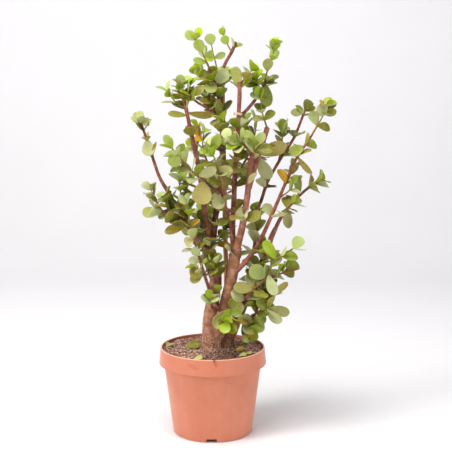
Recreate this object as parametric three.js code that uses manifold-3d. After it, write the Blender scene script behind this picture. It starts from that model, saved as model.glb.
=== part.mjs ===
// A jade plant with small round leaves in a terracotta-coloured plastic pot: three trunks that
// share one stool, pruned branches with leafy shoots, a cane stake, two wire ties, a raffia tie,
// potting mix and a few dropped leaves. Millimetres, +Z up, origin at the centre of the pot's
// underside, -Y is the front.
import * as THREE from "three";
import { mergeVertices } from "three/addons/utils/BufferGeometryUtils.js";
import Module from "manifold-3d";

const wasm = await Module();
wasm.setup();

// ---- Driving dimensions -------------------------------------------------------------------
const GAP = 0.35; // clearance between pieces that touch
const POT = {
  height: 162, // underside to lip
  footRadius: 73.8, // outside, at the underside
  wallTopRadius: 91, // outside, just under the band
  bandFoot: 131.5, // height of the band's lower edge
  bandFootRadius: 100,
  rimRadius: 97, // outside, at the lip
  wall: 2.6,
  base: 5, // thickness of the bottom
  ledge: 3.12, // thickness of the step under the band
  edge: 3, // rounding of the foot
  sides: 40,
};
const NOTCH = { width: 21, topWidth: 18, height: 7.5, depth: 13, count: 4, turn: -1 };
const SOIL = { top: 157, swell: 0.8, mound: 3, step: 3.4, edge: 5, rings: [62, 36] };
const STAKE = { foot: [29, 30, 60], top: [18, 32, 657], radius: 4.4, sides: 8 };
// Ties: centre, half-widths, thickness, and turn and tilt in degrees.
const TIES = {
  wire_tie_low: { centre: [5.5, 11, 364], half: [25.5, 26], thickness: 2.4, turn: 0 },
  wire_tie_high: { centre: [19.5, 25.5, 531], half: [8.5, 13], thickness: 2.2, turn: -10 },
  raffia_tie: { centre: [46, -28, 594], half: [6.5, 6], thickness: 2, turn: 0, tilt: 8 },
};
const STEM = { sides: 5, trunkSides: 9, trunkGirth: 14, step: 14, longestStep: 30 };
const LEAF = {
  thickness: 1.9,
  widest: 1.0, // width over length
  narrowest: 0.74,
  shortest: 0.84, // length of the youngest leaf, as a share of its stem's leaf length
  olderGain: 0.3, // how much longer the oldest leaf may be
  chanceGain: 0.3, // how much longer chance may make a leaf
  youngLift: 52, // degrees that a pair at a shoot's tip is raised from square to the stem
  oldLift: 14,
  turnRange: 40, // degrees that a leaf may stray round its stem, and as much again at each try
  liftRange: 36,
  rollRange: 80,
  facing: 0.6, // how far leaves turn their upper side to the light
  clear: 3.8, // least distance between marks on two leaves
  stemClear: 2.5, // least distance from a leaf's mark to the bark of another stem
  markStep: 6, // spacing of the marks along a stem
  small: 24, // leaves longer than this get a six-sided outline
  least: 26, // shorter leaves are too fine for these solids
  middle: 0.6, // how far along the blade it is thickest
  belly: 0.16, // how far the sides bulge past an oval towards the tip
  footWidth: 0.62, // width of the near half, as a share of the far half
  setback: 2.5, // how far below its node a leaf starts inside the stem
  tries: 6,
};

// Each stem: its name, the stem it grows from, its thickness at the foot and at the tip, and the
// points its centre line passes through. leaf is the length of its leaves, pairs says how far
// along the route each pair grows, from 0 to 1, and turn is the first pair's direction in
// degrees from sideways. Each pair is square to the one below it.
const STEMS = [
  { name: "trunk_left", parent: "", girth: [37, 17], leaf: 0, turn: 0, pairs: [],
    route: [[-3, -8, 140], [-3, -8, 200], [0, -6, 245], [6, -3, 290], [7, 0, 310], [-3, 3, 345]] },
  { name: "trunk_centre", parent: "trunk_left", girth: [28, 20], leaf: 22, turn: 20, pairs: [0.8],
    route: [[-1, -7, 165], [9, -11, 198], [22, -16, 236], [34, -18, 291], [41, -18, 336],
      [44, -19, 354]] },
  { name: "trunk_right", parent: "", girth: [27, 9], leaf: 24, turn: 60, pairs: [0.53, 0.6, 0.69],
    route: [[19, 8, 140], [26, 10, 163], [39, 14, 193], [53, 18, 225], [68, 16, 260], [97, 5, 332],
      [108, 0, 366], [117, -2, 387]] },
  { name: "branch_right_long", parent: "trunk_right", girth: [8, 4.5], leaf: 26, turn: 40,
    pairs: [0.5, 0.78, 0.9, 1],
    route: [[117, -2, 387], [126, -3, 405], [147, -4, 433], [174, -6, 459], [197, -8, 475]] },
  { name: "fork_front", parent: "trunk_centre", girth: [14.6, 8], leaf: 24, turn: 30,
    pairs: [0.28, 0.48, 0.95],
    route: [[44, -19, 350], [54, -27, 389], [63, -36, 446], [68, -40, 502], [71, -42, 522],
      [62, -46, 539]] },
  { name: "leader_centre", parent: "trunk_centre", girth: [12, 7], leaf: 25, turn: 70,
    pairs: [0.3, 0.42, 0.52, 0.6, 0.68, 0.9],
    route: [[41, -14, 339], [37, -8, 379], [39, -4, 427], [42, -14, 502], [46, -26, 565],
      [49, -32, 628], [48, -33, 652]] },
  { name: "leader_left", parent: "trunk_left", girth: [14.8, 6.2], leaf: 25, turn: 10,
    pairs: [0.12, 0.24, 0.36, 0.5, 0.58, 0.66, 0.75, 0.84, 0.92, 1],
    route: [[-3, 3, 345], [1, 6, 365], [8, 14, 426], [16, 20, 490], [18, 18, 563], [12, 10, 622],
      [4, 6, 655]] },
  { name: "branch_left_up", parent: "trunk_left", girth: [12.2, 6.6], leaf: 23, turn: 80,
    pairs: [0.15, 0.3, 0.62, 0.86, 0.97],
    route: [[-3, 3, 345], [-11, -4, 392], [-20, -10, 470], [-31, -13, 529], [-39, -10, 565],
      [-46, -6, 599], [-52, -3, 624]] },
  { name: "branch_left_low", parent: "trunk_left", girth: [11, 4.8], leaf: 24, turn: 75,
    pairs: [0.3, 0.48, 0.62, 0.76, 0.9, 1],
    route: [[-3, 3, 345], [-30, -14, 368], [-51, -24, 400], [-76, -26, 416], [-100, -24, 420]] },
  { name: "branch_left_out", parent: "branch_left_low", girth: [8.4, 4.5], leaf: 21, turn: 0,
    pairs: [0.12, 0.22, 0.6, 0.76, 0.88, 0.98],
    route: [[-53, -24, 401], [-75, -8, 443], [-96, 2, 478], [-110, 5, 518], [-121, 2, 553],
      [-130, -2, 581]] },
  { name: "branch_front_left", parent: "leader_centre", girth: [7.6, 2.8], leaf: 24, turn: 35,
    pairs: [0.12, 0.28, 0.64, 0.74, 0.84, 0.93, 1],
    route: [[37, -8, 384], [25, -28, 425], [9, -42, 456], [-18, -52, 479], [-44, -60, 505],
      [-70, -65, 536]] },
  { name: "shoot_left_hang", parent: "trunk_left", girth: [7.2, 2.4], leaf: 20, turn: 10,
    pairs: [0.26, 0.38, 0.5, 0.62, 0.75, 0.88, 1],
    route: [[1, -8, 246], [-11, -32, 294], [-22, -39, 332], [-33, -42, 371], [-40, -44, 404],
      [-45, -46, 437]] },
  { name: "branch_right_main", parent: "trunk_centre", girth: [10.2, 4.7], leaf: 24, turn: 45,
    pairs: [0.25, 0.5, 0.7, 0.86, 0.95],
    route: [[40, -18, 304], [63, -28, 330], [85, -33, 364], [107, -33, 412], [128, -27, 461],
      [151, -21, 513], [176, -19, 551]] },
  { name: "shoot_right_tip", parent: "branch_right_main", girth: [3.8, 1.8], leaf: 20, turn: 15,
    pairs: [0.25, 0.6, 0.86, 1],
    route: [[175, -19, 549], [193, -20, 581], [202, -21, 597], [205, -22, 608]] },
  { name: "shoot_right_fork", parent: "branch_right_main", girth: [3.6, 2.2], leaf: 20, turn: 20,
    pairs: [0.55, 1],
    route: [[121, -29, 444], [134, -28, 453], [143, -28, 462], [145, -28, 470]] },
  { name: "branch_right_back", parent: "fork_front", girth: [6.8, 4.8], leaf: 22, turn: 60,
    pairs: [0.3, 0.52, 0.68, 0.84, 0.98],
    route: [[58, -31, 411], [84, 5, 423], [102, 28, 467], [127, 40, 510], [151, 46, 547],
      [168, 48, 589], [172, 48, 599]] },
  { name: "branch_mid_right", parent: "fork_front", girth: [10.4, 9.4], leaf: 24, turn: 50,
    pairs: [0.3, 0.62],
    route: [[66, -36, 462], [82, -16, 516], [90, -12, 538], [100, -9, 571]] },
  { name: "shoot_mid_right", parent: "branch_mid_right", girth: [3.4, 1.8], leaf: 20, turn: 10,
    pairs: [0.28, 0.52, 0.78, 1],
    route: [[99, -9, 568], [94, -15, 583], [90, -18, 596], [86, -23, 620], [83, -24, 627]] },
  { name: "shoot_mid_front", parent: "fork_front", girth: [4, 2.2], leaf: 25, turn: 5,
    pairs: [0.5, 1],
    route: [[70, -42, 516], [75, -49, 530], [74, -51, 541]] },
  { name: "shoot_mid_left", parent: "fork_front", girth: [3.2, 2], leaf: 25, turn: 25,
    pairs: [0.95],
    route: [[63, -46, 536], [56, -51, 541], [50, -54, 546]] },
  { name: "branch_up_right", parent: "leader_centre", girth: [6.4, 5.4], leaf: 20, turn: 60,
    pairs: [0.5, 0.72, 0.86, 0.98],
    route: [[47, -28, 586], [71, -18, 611], [91, -11, 640], [98, -9, 654]] },
  { name: "shoot_up_right", parent: "branch_up_right", girth: [3.6, 1.8], leaf: 19, turn: 0,
    pairs: [0.34, 0.6, 0.82, 1],
    route: [[92, -11, 643], [99, -13, 671], [108, -15, 695], [111, -16, 716]] },
  { name: "shoot_up_fan", parent: "branch_up_right", girth: [3.2, 2], leaf: 21, turn: 0,
    pairs: [0.45, 0.75, 1],
    route: [[87, -12, 634], [82, -12, 647], [77, -12, 656]] },
  { name: "branch_up_left", parent: "leader_left", girth: [5.8, 3.6], leaf: 20, turn: 50,
    pairs: [0.12, 0.72, 0.88, 1],
    route: [[18, 16, 578], [-4, -4, 600], [-30, -14, 617], [-44, -17, 634]] },
  { name: "shoot_left_crown", parent: "branch_left_up", girth: [4, 2.2], leaf: 19, turn: 10,
    pairs: [0.25, 0.5, 0.78, 1],
    route: [[-51, -3, 620], [-53, -6, 632], [-54, -8, 643], [-52, -9, 650]] },
  { name: "shoot_left_crown_b", parent: "branch_up_left", girth: [3.2, 2], leaf: 18, turn: 30,
    pairs: [0.5, 1],
    route: [[-43, -17, 631], [-40, -16, 639], [-38, -15, 647]] },
  { name: "stub_top", parent: "leader_left", girth: [6.6, 5.8], leaf: 15, turn: 15, pairs: [0.8],
    route: [[10, 8, 639], [21, 2, 677], [36, -2, 705], [43, -4, 722]] },
  { name: "shoot_top_left", parent: "leader_left", girth: [4.4, 1.8], leaf: 20, turn: 0,
    pairs: [0.28, 0.44, 0.62, 0.8, 1],
    route: [[4, 6, 653], [-10, 0, 686], [-20, -2, 708], [-29, -4, 728]] },
  { name: "shoot_top_mid", parent: "leader_left", girth: [3.6, 1.8], leaf: 18, turn: 5,
    pairs: [0.5, 0.68, 0.84, 1],
    route: [[8, 8, 643], [10, 6, 664], [6, 3, 686], [2, 2, 701], [-3, 0, 726]] },
  { name: "shoot_top_right", parent: "stub_top", girth: [3, 1.8], leaf: 16, turn: 20,
    pairs: [0.5, 0.78, 1],
    route: [[35, -2, 703], [28, -6, 716], [23, -8, 728], [20, -9, 735]] },
  { name: "branch_right_low", parent: "trunk_right", girth: [5.8, 2.8], leaf: 26, turn: 30,
    pairs: [0.36, 0.5, 0.64, 0.78, 0.9, 1],
    route: [[51, 18, 219], [52, 0, 236], [58, -22, 255], [76, -34, 278], [99, -41, 303],
      [113, -47, 332], [147, -53, 357]] },
  { name: "shoot_right_inner", parent: "branch_right_low", girth: [3, 1.8], leaf: 20, turn: 40,
    pairs: [0.55, 1],
    route: [[104, -44, 319], [108, -40, 336], [102, -38, 350]] },
  { name: "twig_right_bare", parent: "branch_right_low", girth: [3.4, 2.6], leaf: 0, turn: 0,
    pairs: [],
    route: [[96, -40, 298], [114, -42, 305], [135, -44, 311], [159, -46, 318]] },
  { name: "branch_right_bottom", parent: "trunk_right", girth: [5.8, 3], leaf: 24, turn: 60,
    pairs: [0.3, 0.48, 0.66, 0.84, 1],
    route: [[48, 16, 205], [64, 0, 210], [82, -14, 232], [89, -16, 266], [102, -16, 293]] },
  { name: "twig_right_bottom", parent: "branch_right_bottom", girth: [3.4, 2.2], leaf: 25, turn: 20,
    pairs: [0.35, 0.7, 1],
    route: [[82, -14, 231], [96, -17, 235], [106, -18, 243], [102, -18, 263]] },
  { name: "stub_low", parent: "trunk_centre", girth: [6.6, 6.2], leaf: 0, turn: 0, pairs: [],
    route: [[20, -14, 228], [12, -26, 238], [3, -34, 250]] },
  { name: "shoot_low_front", parent: "trunk_centre", girth: [6, 3.6], leaf: 25, turn: 30,
    pairs: [0.6, 1],
    route: [[27, -17, 248], [30, -32, 242], [34, -44, 239]] },
  { name: "shoot_low_left", parent: "trunk_left", girth: [4.6, 2.8], leaf: 20, turn: 20,
    pairs: [0.7, 1],
    route: [[1, -8, 230], [-2, -26, 246], [0, -33, 259]] },
  { name: "shoot_left_front", parent: "trunk_left", girth: [5, 2.8], leaf: 20, turn: 10,
    pairs: [0.45, 0.65, 0.83, 1],
    route: [[6, -4, 277], [4, -20, 293], [5, -27, 311], [8, -31, 327]] },
  { name: "shoot_centre_left", parent: "branch_front_left", girth: [4.2, 2], leaf: 22, turn: 35,
    pairs: [0.3, 0.5, 0.68, 0.85, 1],
    route: [[18, -36, 444], [18, -46, 471], [8, -56, 507], [-2, -59, 536]] },
  { name: "shoot_left_knot", parent: "branch_left_low", girth: [4.8, 2.6], leaf: 20, turn: 20,
    pairs: [0.3, 0.48, 0.66, 0.84, 1],
    route: [[-47, -23, 395], [-50, -24, 418], [-55, -24, 441], [-60, -22, 475]] },
  { name: "shoot_right_crown", parent: "branch_right_back", girth: [4, 2.2], leaf: 23, turn: 40,
    pairs: [0.35, 0.6, 0.82, 1],
    route: [[123, 39, 505], [127, 36, 529], [131, 31, 564]] },
  { name: "branch_back_centre", parent: "leader_left", girth: [8, 3], leaf: 24, turn: 20,
    pairs: [0.36, 0.5, 0.63, 0.76, 0.88, 1],
    route: [[1, 6, 362], [4, 34, 386], [14, 58, 420], [28, 76, 456], [41, 88, 493], [50, 95, 525]] },
  { name: "branch_back_right", parent: "trunk_right", girth: [8, 3], leaf: 25, turn: 70,
    pairs: [0.36, 0.52, 0.66, 0.8, 0.9, 1],
    route: [[67, 16, 259], [70, 45, 287], [75, 70, 322], [83, 88, 358], [87, 98, 390]] },
  { name: "branch_back_left", parent: "trunk_left", girth: [7, 3], leaf: 24, turn: 40,
    pairs: [0.36, 0.5, 0.63, 0.76, 0.88, 1],
    route: [[3, 0, 278], [-9, 30, 300], [-17, 55, 324], [-21, 72, 354], [-17, 82, 388],
      [-13, 88, 415]] },
  { name: "branch_back_upper", parent: "leader_left", girth: [6, 2.6], leaf: 23, turn: 65,
    pairs: [0.36, 0.52, 0.68, 0.84, 1],
    route: [[12, 18, 457], [-1, 40, 484], [-13, 60, 509], [-19, 72, 532], [-17, 80, 557]] },
  { name: "branch_back_high", parent: "leader_centre", girth: [6, 2.6], leaf: 23, turn: 10,
    pairs: [0.36, 0.52, 0.68, 0.84, 1],
    route: [[41, -6, 474], [56, 25, 498], [70, 50, 524], [79, 68, 552], [81, 80, 576]] },
  { name: "shoot_low_right", parent: "trunk_right", girth: [3.8, 2.4], leaf: 25, turn: 20,
    pairs: [0.4, 0.6, 0.8, 1],
    route: [[44, 15, 202], [56, 0, 206], [67, -10, 203], [80, -16, 209]] },
];

// The largest and most open leaves: the stem, how far along its route, the way from foot to tip,
// the width, and how far the blade is turned from facing the front, in degrees.
const LARGE_LEAVES = [
  ["branch_front_left", 0.6, [-1, -5, -40], 36, 10],
  ["branch_front_left", 0.4, [2, -4, -26], 24, 15],
  ["shoot_centre_left", 0.62, [26, -6, -2], 20, 30],
  ["shoot_centre_left", 0.95, [11, -4, 30], 19, 15],
  ["shoot_low_front", 0.35, [26, -8, -3], 27, 10],
  ["shoot_low_front", 0.85, [-27, -7, -30], 26, 5],
  ["branch_right_low", 0.5, [-34, -7, 8], 23, 10],
  ["branch_right_low", 0.66, [-26, -9, 19], 30, 5],
  ["branch_right_low", 0.7, [12, -7, -36], 21, 10],
  ["branch_right_low", 0.86, [-23, -6, 33], 20, 20],
  ["branch_mid_right", 0.42, [45, -8, 17], 28, 5],
  ["branch_mid_right", 0.36, [19, -6, -35], 25, 15],
  ["leader_left", 0.97, [20, -16, 24], 27, 5],
  ["leader_left", 0.99, [-13, -18, -18], 25, 5],
  ["leader_left", 1, [-35, -3, 14], 22, 30],
  ["leader_left", 0.72, [-9, -17, 37], 17, 10],
  ["leader_left", 0.83, [-34, -18, -4], 17, 30],
  ["leader_centre", 0.92, [-9, 12, 32], 20, 10],
  ["fork_front", 0.58, [-42, -8, -5], 22, 72],
  ["fork_front", 0.76, [-14, 4, -32], 18, 20],
  ["fork_front", 0.36, [-10, -4, -22], 24, 15],
  ["branch_up_right", 0.9, [5, 5, -38], 22, 10],
  ["branch_left_low", 0.46, [-36, -8, -11], 19, 25],
  ["branch_left_low", 1, [-27, 4, -4], 20, 20],
  ["branch_left_out", 0.78, [6, -8, -27], 24, 5],
  ["branch_left_up", 0.8, [-32, -4, 2], 13, 30],
  ["branch_left_up", 0.83, [44, -8, -8], 17, 35],
  ["twig_right_bottom", 0.62, [37, -5, -6], 22, 20],
  ["twig_right_bottom", 0.5, [24, -5, -26], 20, 20],
  ["twig_right_bottom", 0.95, [30, 4, 32], 19, 45],
  ["branch_right_long", 0.62, [-5, -5, 37], 15, 15],
  ["branch_right_long", 0.42, [0, -6, -33], 19, 15],
  ["branch_right_main", 0.94, [-24, -6, -12], 22, 20],
  ["shoot_right_crown", 0.92, [-3, -6, 27], 19, 15],
  ["shoot_left_hang", 0.62, [-14, 2, -10], 20, 15],
  ["branch_left_low", 0.55, [5, 4, -28], 14, 20],
  ["shoot_top_left", 0.98, [-19, -5, 13], 18, 5],
  ["shoot_top_left", 0.62, [-9, -9, 20], 20, 5],
  ["shoot_top_left", 0.34, [-24, -6, 4], 14, 10],
  ["shoot_top_left", 0.38, [9, -6, 18], 13, 15],
  ["shoot_top_mid", 0.92, [-4, -6, 19], 20, 5],
  ["shoot_top_mid", 0.7, [-14, -9, -6], 15, 10],
  ["shoot_top_mid", 0.66, [18, -7, 7], 13, 10],
  ["shoot_top_right", 0.4, [-8, -7, 14], 16, 5],
  ["shoot_top_right", 0.96, [-5, -5, 12], 13, 5],
  ["shoot_up_right", 0.88, [2, -7, 19], 20, 5],
  ["shoot_up_right", 0.34, [1, -8, 22], 19, 5],
  ["branch_left_out", 1, [-15, -6, 8], 12, 20],
  ["branch_left_out", 0.98, [17, -7, 6], 16, 5],
  ["branch_left_out", 0.18, [2, -10, -24], 22, 20],
  ["branch_front_left", 1, [-14, -5, 24], 15, 15],
  ["branch_front_left", 0.98, [1, -6, -26], 25, 10],
  ["branch_front_left", 0.97, [16, -5, 13], 15, 30],
  ["branch_front_left", 0.66, [30, -9, 16], 20, 20],
  ["shoot_centre_left", 0.98, [-21, -6, -2], 12, 15],
  ["shoot_mid_left", 1, [-24, -5, 8], 18, 10],
  ["shoot_mid_left", 0.98, [4, -6, 25], 10, 30],
  ["shoot_mid_front", 1, [-14, -6, 26], 18, 10],
  ["shoot_mid_front", 0.98, [17, -7, 23], 18, 10],
  ["branch_up_left", 0.9, [22, -8, 14], 17, 15],
  ["shoot_left_crown", 0.7, [-4, -8, 20], 18, 5],
  ["shoot_left_crown", 0.15, [-22, -6, 1], 11, 20],
  ["shoot_right_tip", 0.98, [10, -6, 13], 14, 10],
  ["shoot_right_tip", 0.5, [-3, -9, 24], 22, 5],
  ["shoot_right_tip", 0.62, [20, -7, 7], 16, 10],
  ["branch_right_back", 0.98, [-24, -6, -2], 16, 10],
  ["branch_right_back", 1, [17, -6, 8], 11, 15],
  ["branch_right_main", 0.86, [22, -6, -30], 13, 25],
  ["shoot_left_hang", 0.3, [-21, -6, -17], 18, 5],
  ["shoot_left_hang", 0.4, [-20, -6, 4], 15, 10],
  ["shoot_left_hang", 0.44, [-10, -9, 19], 16, 5],
];

// Leaves that have dropped: the foot's place on the mix, the way to the tip, length and width.
const FALLEN_LEAVES = [
  [-52, -4, 10, 30, 20],
  [-85, 2, 70, 17, 13],
  [-33, -76, -8, 17, 11],
  [48, -58, 20, 15, 10],
  [60, -42, -25, 14, 9],
  [42, -24, 15, 17, 11],
];

// ---- Solids -------------------------------------------------------------------------------
function solid(geometry) {
  const shape = geometry.clone();
  shape.deleteAttribute("normal");
  shape.deleteAttribute("uv");
  const merged = mergeVertices(shape, 1e-4);
  return new wasm.Manifold(new wasm.Mesh({
    numProp: 3,
    vertProperties: merged.attributes.position.array,
    triVerts: new Uint32Array(merged.index.array),
  }));
}

function geometryOf(manifold) {
  const mesh = manifold.getMesh();
  const geometry = new THREE.BufferGeometry();
  geometry.setAttribute("position", new THREE.BufferAttribute(mesh.vertProperties, mesh.numProp));
  geometry.setIndex(new THREE.BufferAttribute(mesh.triVerts, 1));
  geometry.computeVertexNormals();
  return geometry;
}

function largestPiece(manifold) {
  const pieces = manifold.decompose();
  return pieces.reduce((best, piece) => (piece.volume() > best.volume() ? piece : best));
}

function boxesMeet(a, b) {
  const boxA = a.boundingBox();
  const boxB = b.boundingBox();
  return [0, 1, 2].every((k) => boxA.min[k] <= boxB.max[k] && boxB.min[k] <= boxA.max[k]);
}

// ---- How the plant grows --------------------------------------------------------------------
let seed = 20;

function random() {
  seed = (seed * 1664525 + 1013904223) % 4294967296;
  return seed / 4294967296;
}

const RADIANS = Math.PI / 180;
const FRONT = new THREE.Vector3(0, -1, 0);
const LIGHT = new THREE.Vector3(-0.25, -0.75, 0.6); // where the light comes from that leaves turn to

function growStem(row) {
  const points = row.route.map((place) => new THREE.Vector3(...place));
  const curve = new THREE.CatmullRomCurve3(points, false, "catmullrom", 0.5);
  const [foot, tip] = row.girth;
  const radiusAt = (along) => (tip + (foot - tip) * (1 - along) ** 1.5) / 2;
  return { ...row, curve, radiusAt, leaves: [] };
}

// A leaf is its foot on the stem's centre line, its unit directions along, across and out of
// the blade, its length and its width.
function makeLeaf(foot, along, out, length, width) {
  const across = new THREE.Vector3().crossVectors(out, along).normalize();
  return { foot, along, across, out, length, width };
}

// Marks on the blade that another leaf's marks have to stay clear of.
function leafMarks(leaf) {
  return [[0.45, 0], [0.75, 0], [0.98, 0], [0.72, 0.4], [0.72, -0.4]].map(([reach, side]) =>
    leaf.foot.clone()
      .addScaledVector(leaf.along, leaf.length * reach)
      .addScaledVector(leaf.across, leaf.width * side));
}

const takenMarks = [];
const stemMarks = [];

function markStem(stem) {
  const steps = Math.ceil(stem.curve.getLength() / LEAF.markStep);
  for (let k = 0; k <= steps; k += 1) {
    const place = stem.curve.getPoint(k / steps);
    stemMarks.push({ place, reach: stem.radiusAt(k / steps) + LEAF.stemClear, name: stem.name });
  }
}

function leafFits(leaf, stem) {
  const marks = leafMarks(leaf);
  const meetsLeaf = takenMarks.some((taken) => marks.some((mark) => mark.distanceTo(taken) < LEAF.clear));
  const meetsStem = stemMarks.some((taken) =>
    taken.name !== stem.name && marks.some((mark) => mark.distanceTo(taken.place) < taken.reach));
  return !meetsLeaf && !meetsStem;
}

function addLeaf(stem, leaf) {
  stem.leaves.push(leaf);
  takenMarks.push(...leafMarks(leaf));
}

function leafFoot(stem, at) {
  return stem.curve.getPoint(at).addScaledVector(stem.curve.getTangent(at), -LEAF.setback);
}

function growLargeLeaf(stem, at, way, width, facing) {
  const along = new THREE.Vector3(...way).normalize();
  const length = new THREE.Vector3(...way).length();
  const out = FRONT.clone().addScaledVector(along, -FRONT.dot(along)).normalize();
  out.applyAxisAngle(along, facing * RADIANS);
  addLeaf(stem, makeLeaf(leafFoot(stem, at), along, out, length + stem.radiusAt(at), width));
}

// One leaf of a pair: side is 0 or 180, and age runs from 1 at the stem's foot to 0 at its tip.
function growPairLeaf(stem, at, turn, side, age) {
  const foot = leafFoot(stem, at);
  const rise = stem.curve.getTangent(at);
  const sideways = new THREE.Vector3().crossVectors(rise, FRONT).normalize();
  const deep = new THREE.Vector3().crossVectors(rise, sideways);
  for (let attempt = 0; attempt < LEAF.tries; attempt += 1) {
    const stray = (random() - 0.5) * LEAF.turnRange * (attempt + 1);
    const angle = (turn + side + stray) * RADIANS;
    const usualLift = LEAF.youngLift + (LEAF.oldLift - LEAF.youngLift) * age;
    const lift = (usualLift + (random() - 0.5) * LEAF.liftRange) * RADIANS;
    const roll = (random() - 0.5) * LEAF.rollRange * RADIANS;
    const length = stem.leaf * (LEAF.shortest + LEAF.olderGain * age + LEAF.chanceGain * random());
    const slim = LEAF.narrowest + (LEAF.widest - LEAF.narrowest) * random();
    const away = sideways.clone().multiplyScalar(Math.cos(angle)).addScaledVector(deep, Math.sin(angle));
    const along = away.clone().multiplyScalar(Math.cos(lift)).addScaledVector(rise, Math.sin(lift));
    const out = rise.clone().multiplyScalar(Math.cos(lift)).addScaledVector(away, -Math.sin(lift));
    out.applyAxisAngle(along, roll);
    const towardsLight = LIGHT.clone().addScaledVector(along, -LIGHT.dot(along));
    out.addScaledVector(towardsLight, LEAF.facing).normalize();
    const leaf = makeLeaf(foot, along, out, length + stem.radiusAt(at), length * slim);
    if (leafFits(leaf, stem)) {
      addLeaf(stem, leaf);
      return;
    }
  }
}

function growPlant() {
  const stems = STEMS.map(growStem);
  stems.forEach(markStem);
  const byName = Object.fromEntries(stems.map((stem) => [stem.name, stem]));
  for (const [name, at, way, width, facing] of LARGE_LEAVES) {
    growLargeLeaf(byName[name], at, way, width, facing);
  }
  for (const stem of stems) {
    stem.pairs.forEach((at, order) => {
      for (const side of [0, 180]) {
        growPairLeaf(stem, at, stem.turn + order * 90, side, 1 - at);
      }
    });
  }
  return stems;
}

// ---- Shapes of the plant ----------------------------------------------------------------------
// A cylinder bent along the stem's centre line and drawn in towards its tip.
function stemSolid(stem, extra) {
  const sides = stem.girth[0] > STEM.trunkGirth ? STEM.trunkSides : STEM.sides;
  const step = Math.min(STEM.longestStep, STEM.step + stem.girth[1]);
  const rings = Math.max(2, Math.round(stem.curve.getLength() / step));
  const geometry = new THREE.CylinderGeometry(1, 1, 1, sides, rings);
  const position = geometry.attributes.position;
  const side = new THREE.Vector3();
  const front = new THREE.Vector3();
  for (let k = 0; k < position.count; k += 1) {
    const along = position.getY(k) + 0.5;
    const radius = stem.radiusAt(along) + extra;
    const rise = stem.curve.getTangent(along);
    side.crossVectors(FRONT, rise).normalize();
    front.crossVectors(side, rise);
    const place = stem.curve.getPoint(along)
      .addScaledVector(side, position.getX(k) * radius)
      .addScaledVector(front, position.getZ(k) * radius);
    position.setXYZ(k, place.x, place.y, place.z);
  }
  return solid(geometry);
}

// A blade of four sides, or of six on the large leaves: the equator of a low ball makes the
// outline, widest past its middle, and the two poles are the thick middle.
function leafGeometry(length, width, thickness) {
  const sides = length > LEAF.small ? 6 : 4;
  const geometry = new THREE.SphereGeometry(1, sides, 2);
  const position = geometry.attributes.position;
  for (let k = 0; k < position.count; k += 1) {
    const pole = Math.round(position.getY(k));
    const ahead = position.getX(k);
    const rim = 0.5 + 0.5 * ahead + LEAF.belly * (1 - ahead * ahead);
    const reach = pole === 0 ? rim : LEAF.middle;
    const spread = ahead < -0.1 ? LEAF.footWidth : 1;
    const side = Math.sign(Math.round(-position.getZ(k) * 10)) * spread;
    position.setXYZ(k, length * reach, pole === 0 ? (width / 2) * side : 0, (thickness / 2) * pole);
  }
  return geometry;
}

function leafSolid(leaf, extra) {
  const geometry = leafGeometry(leaf.length + extra, leaf.width + 2 * extra, LEAF.thickness + 3 * extra);
  const frame = new THREE.Matrix4().makeBasis(leaf.along, leaf.across, leaf.out);
  frame.setPosition(leaf.foot);
  geometry.applyMatrix4(frame);
  return solid(geometry);
}

function stemWithLeaves(stem, extra) {
  const parts = stem.leaves.filter((leaf) => leaf.length >= LEAF.least).map((leaf) => leafSolid(leaf, extra));
  return wasm.Manifold.union([stemSolid(stem, extra), ...parts]);
}

// ---- The pot and what is in it ------------------------------------------------------------------
function potOuterRadius(height) {
  return POT.footRadius + ((POT.wallTopRadius - POT.footRadius) * height) / POT.bandFoot;
}

function bandRadius(height) {
  const rise = (height - POT.bandFoot) / (POT.height - POT.bandFoot);
  return POT.bandFootRadius + (POT.rimRadius - POT.bandFootRadius) * rise;
}

function lathe(profile, phase = 0) {
  const points = profile.map(([radius, height]) => new THREE.Vector2(radius, height));
  const geometry = new THREE.LatheGeometry(points, POT.sides, phase);
  geometry.rotateX(Math.PI / 2);
  return geometry;
}

function potBody() {
  const lip = 1.2;
  const ledge = POT.bandFoot + POT.ledge;
  return lathe([
    [0, 0],
    [POT.footRadius - POT.edge, 0],
    [POT.footRadius - POT.edge * 0.3, POT.edge * 0.3],
    [potOuterRadius(POT.edge), POT.edge],
    [POT.wallTopRadius, POT.bandFoot],
    [POT.bandFootRadius - 1, POT.bandFoot],
    [POT.bandFootRadius, POT.bandFoot + 1],
    [POT.rimRadius, POT.height - lip],
    [POT.rimRadius - lip, POT.height],
    [POT.rimRadius - POT.wall + 0.4, POT.height],
    [POT.rimRadius - POT.wall, POT.height - lip],
    [bandRadius(ledge) - POT.wall, ledge],
    [POT.wallTopRadius - POT.wall, ledge],
    [potOuterRadius(POT.base) - POT.wall, POT.base],
    [0, POT.base],
  ]);
}

// A wedge that takes out the foot's corner, wider at the floor than above.
function notchCutter(turn) {
  const outline = new THREE.Shape([
    new THREE.Vector2(-NOTCH.width / 2, -1),
    new THREE.Vector2(NOTCH.width / 2, -1),
    new THREE.Vector2(NOTCH.topWidth / 2, NOTCH.height),
    new THREE.Vector2(-NOTCH.topWidth / 2, NOTCH.height),
  ]);
  const geometry = new THREE.ExtrudeGeometry(outline, { depth: NOTCH.depth * 2, bevelEnabled: false });
  geometry.rotateX(Math.PI / 2);
  geometry.translate(0, -potOuterRadius(0) + NOTCH.depth, 0);
  geometry.rotateZ(turn);
  return solid(geometry);
}

function makePot() {
  let pot = solid(potBody());
  for (let k = 0; k < NOTCH.count; k += 1) {
    pot = pot.subtract(notchCutter(NOTCH.turn * RADIANS + (k * 2 * Math.PI) / NOTCH.count));
  }
  return pot;
}

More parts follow.
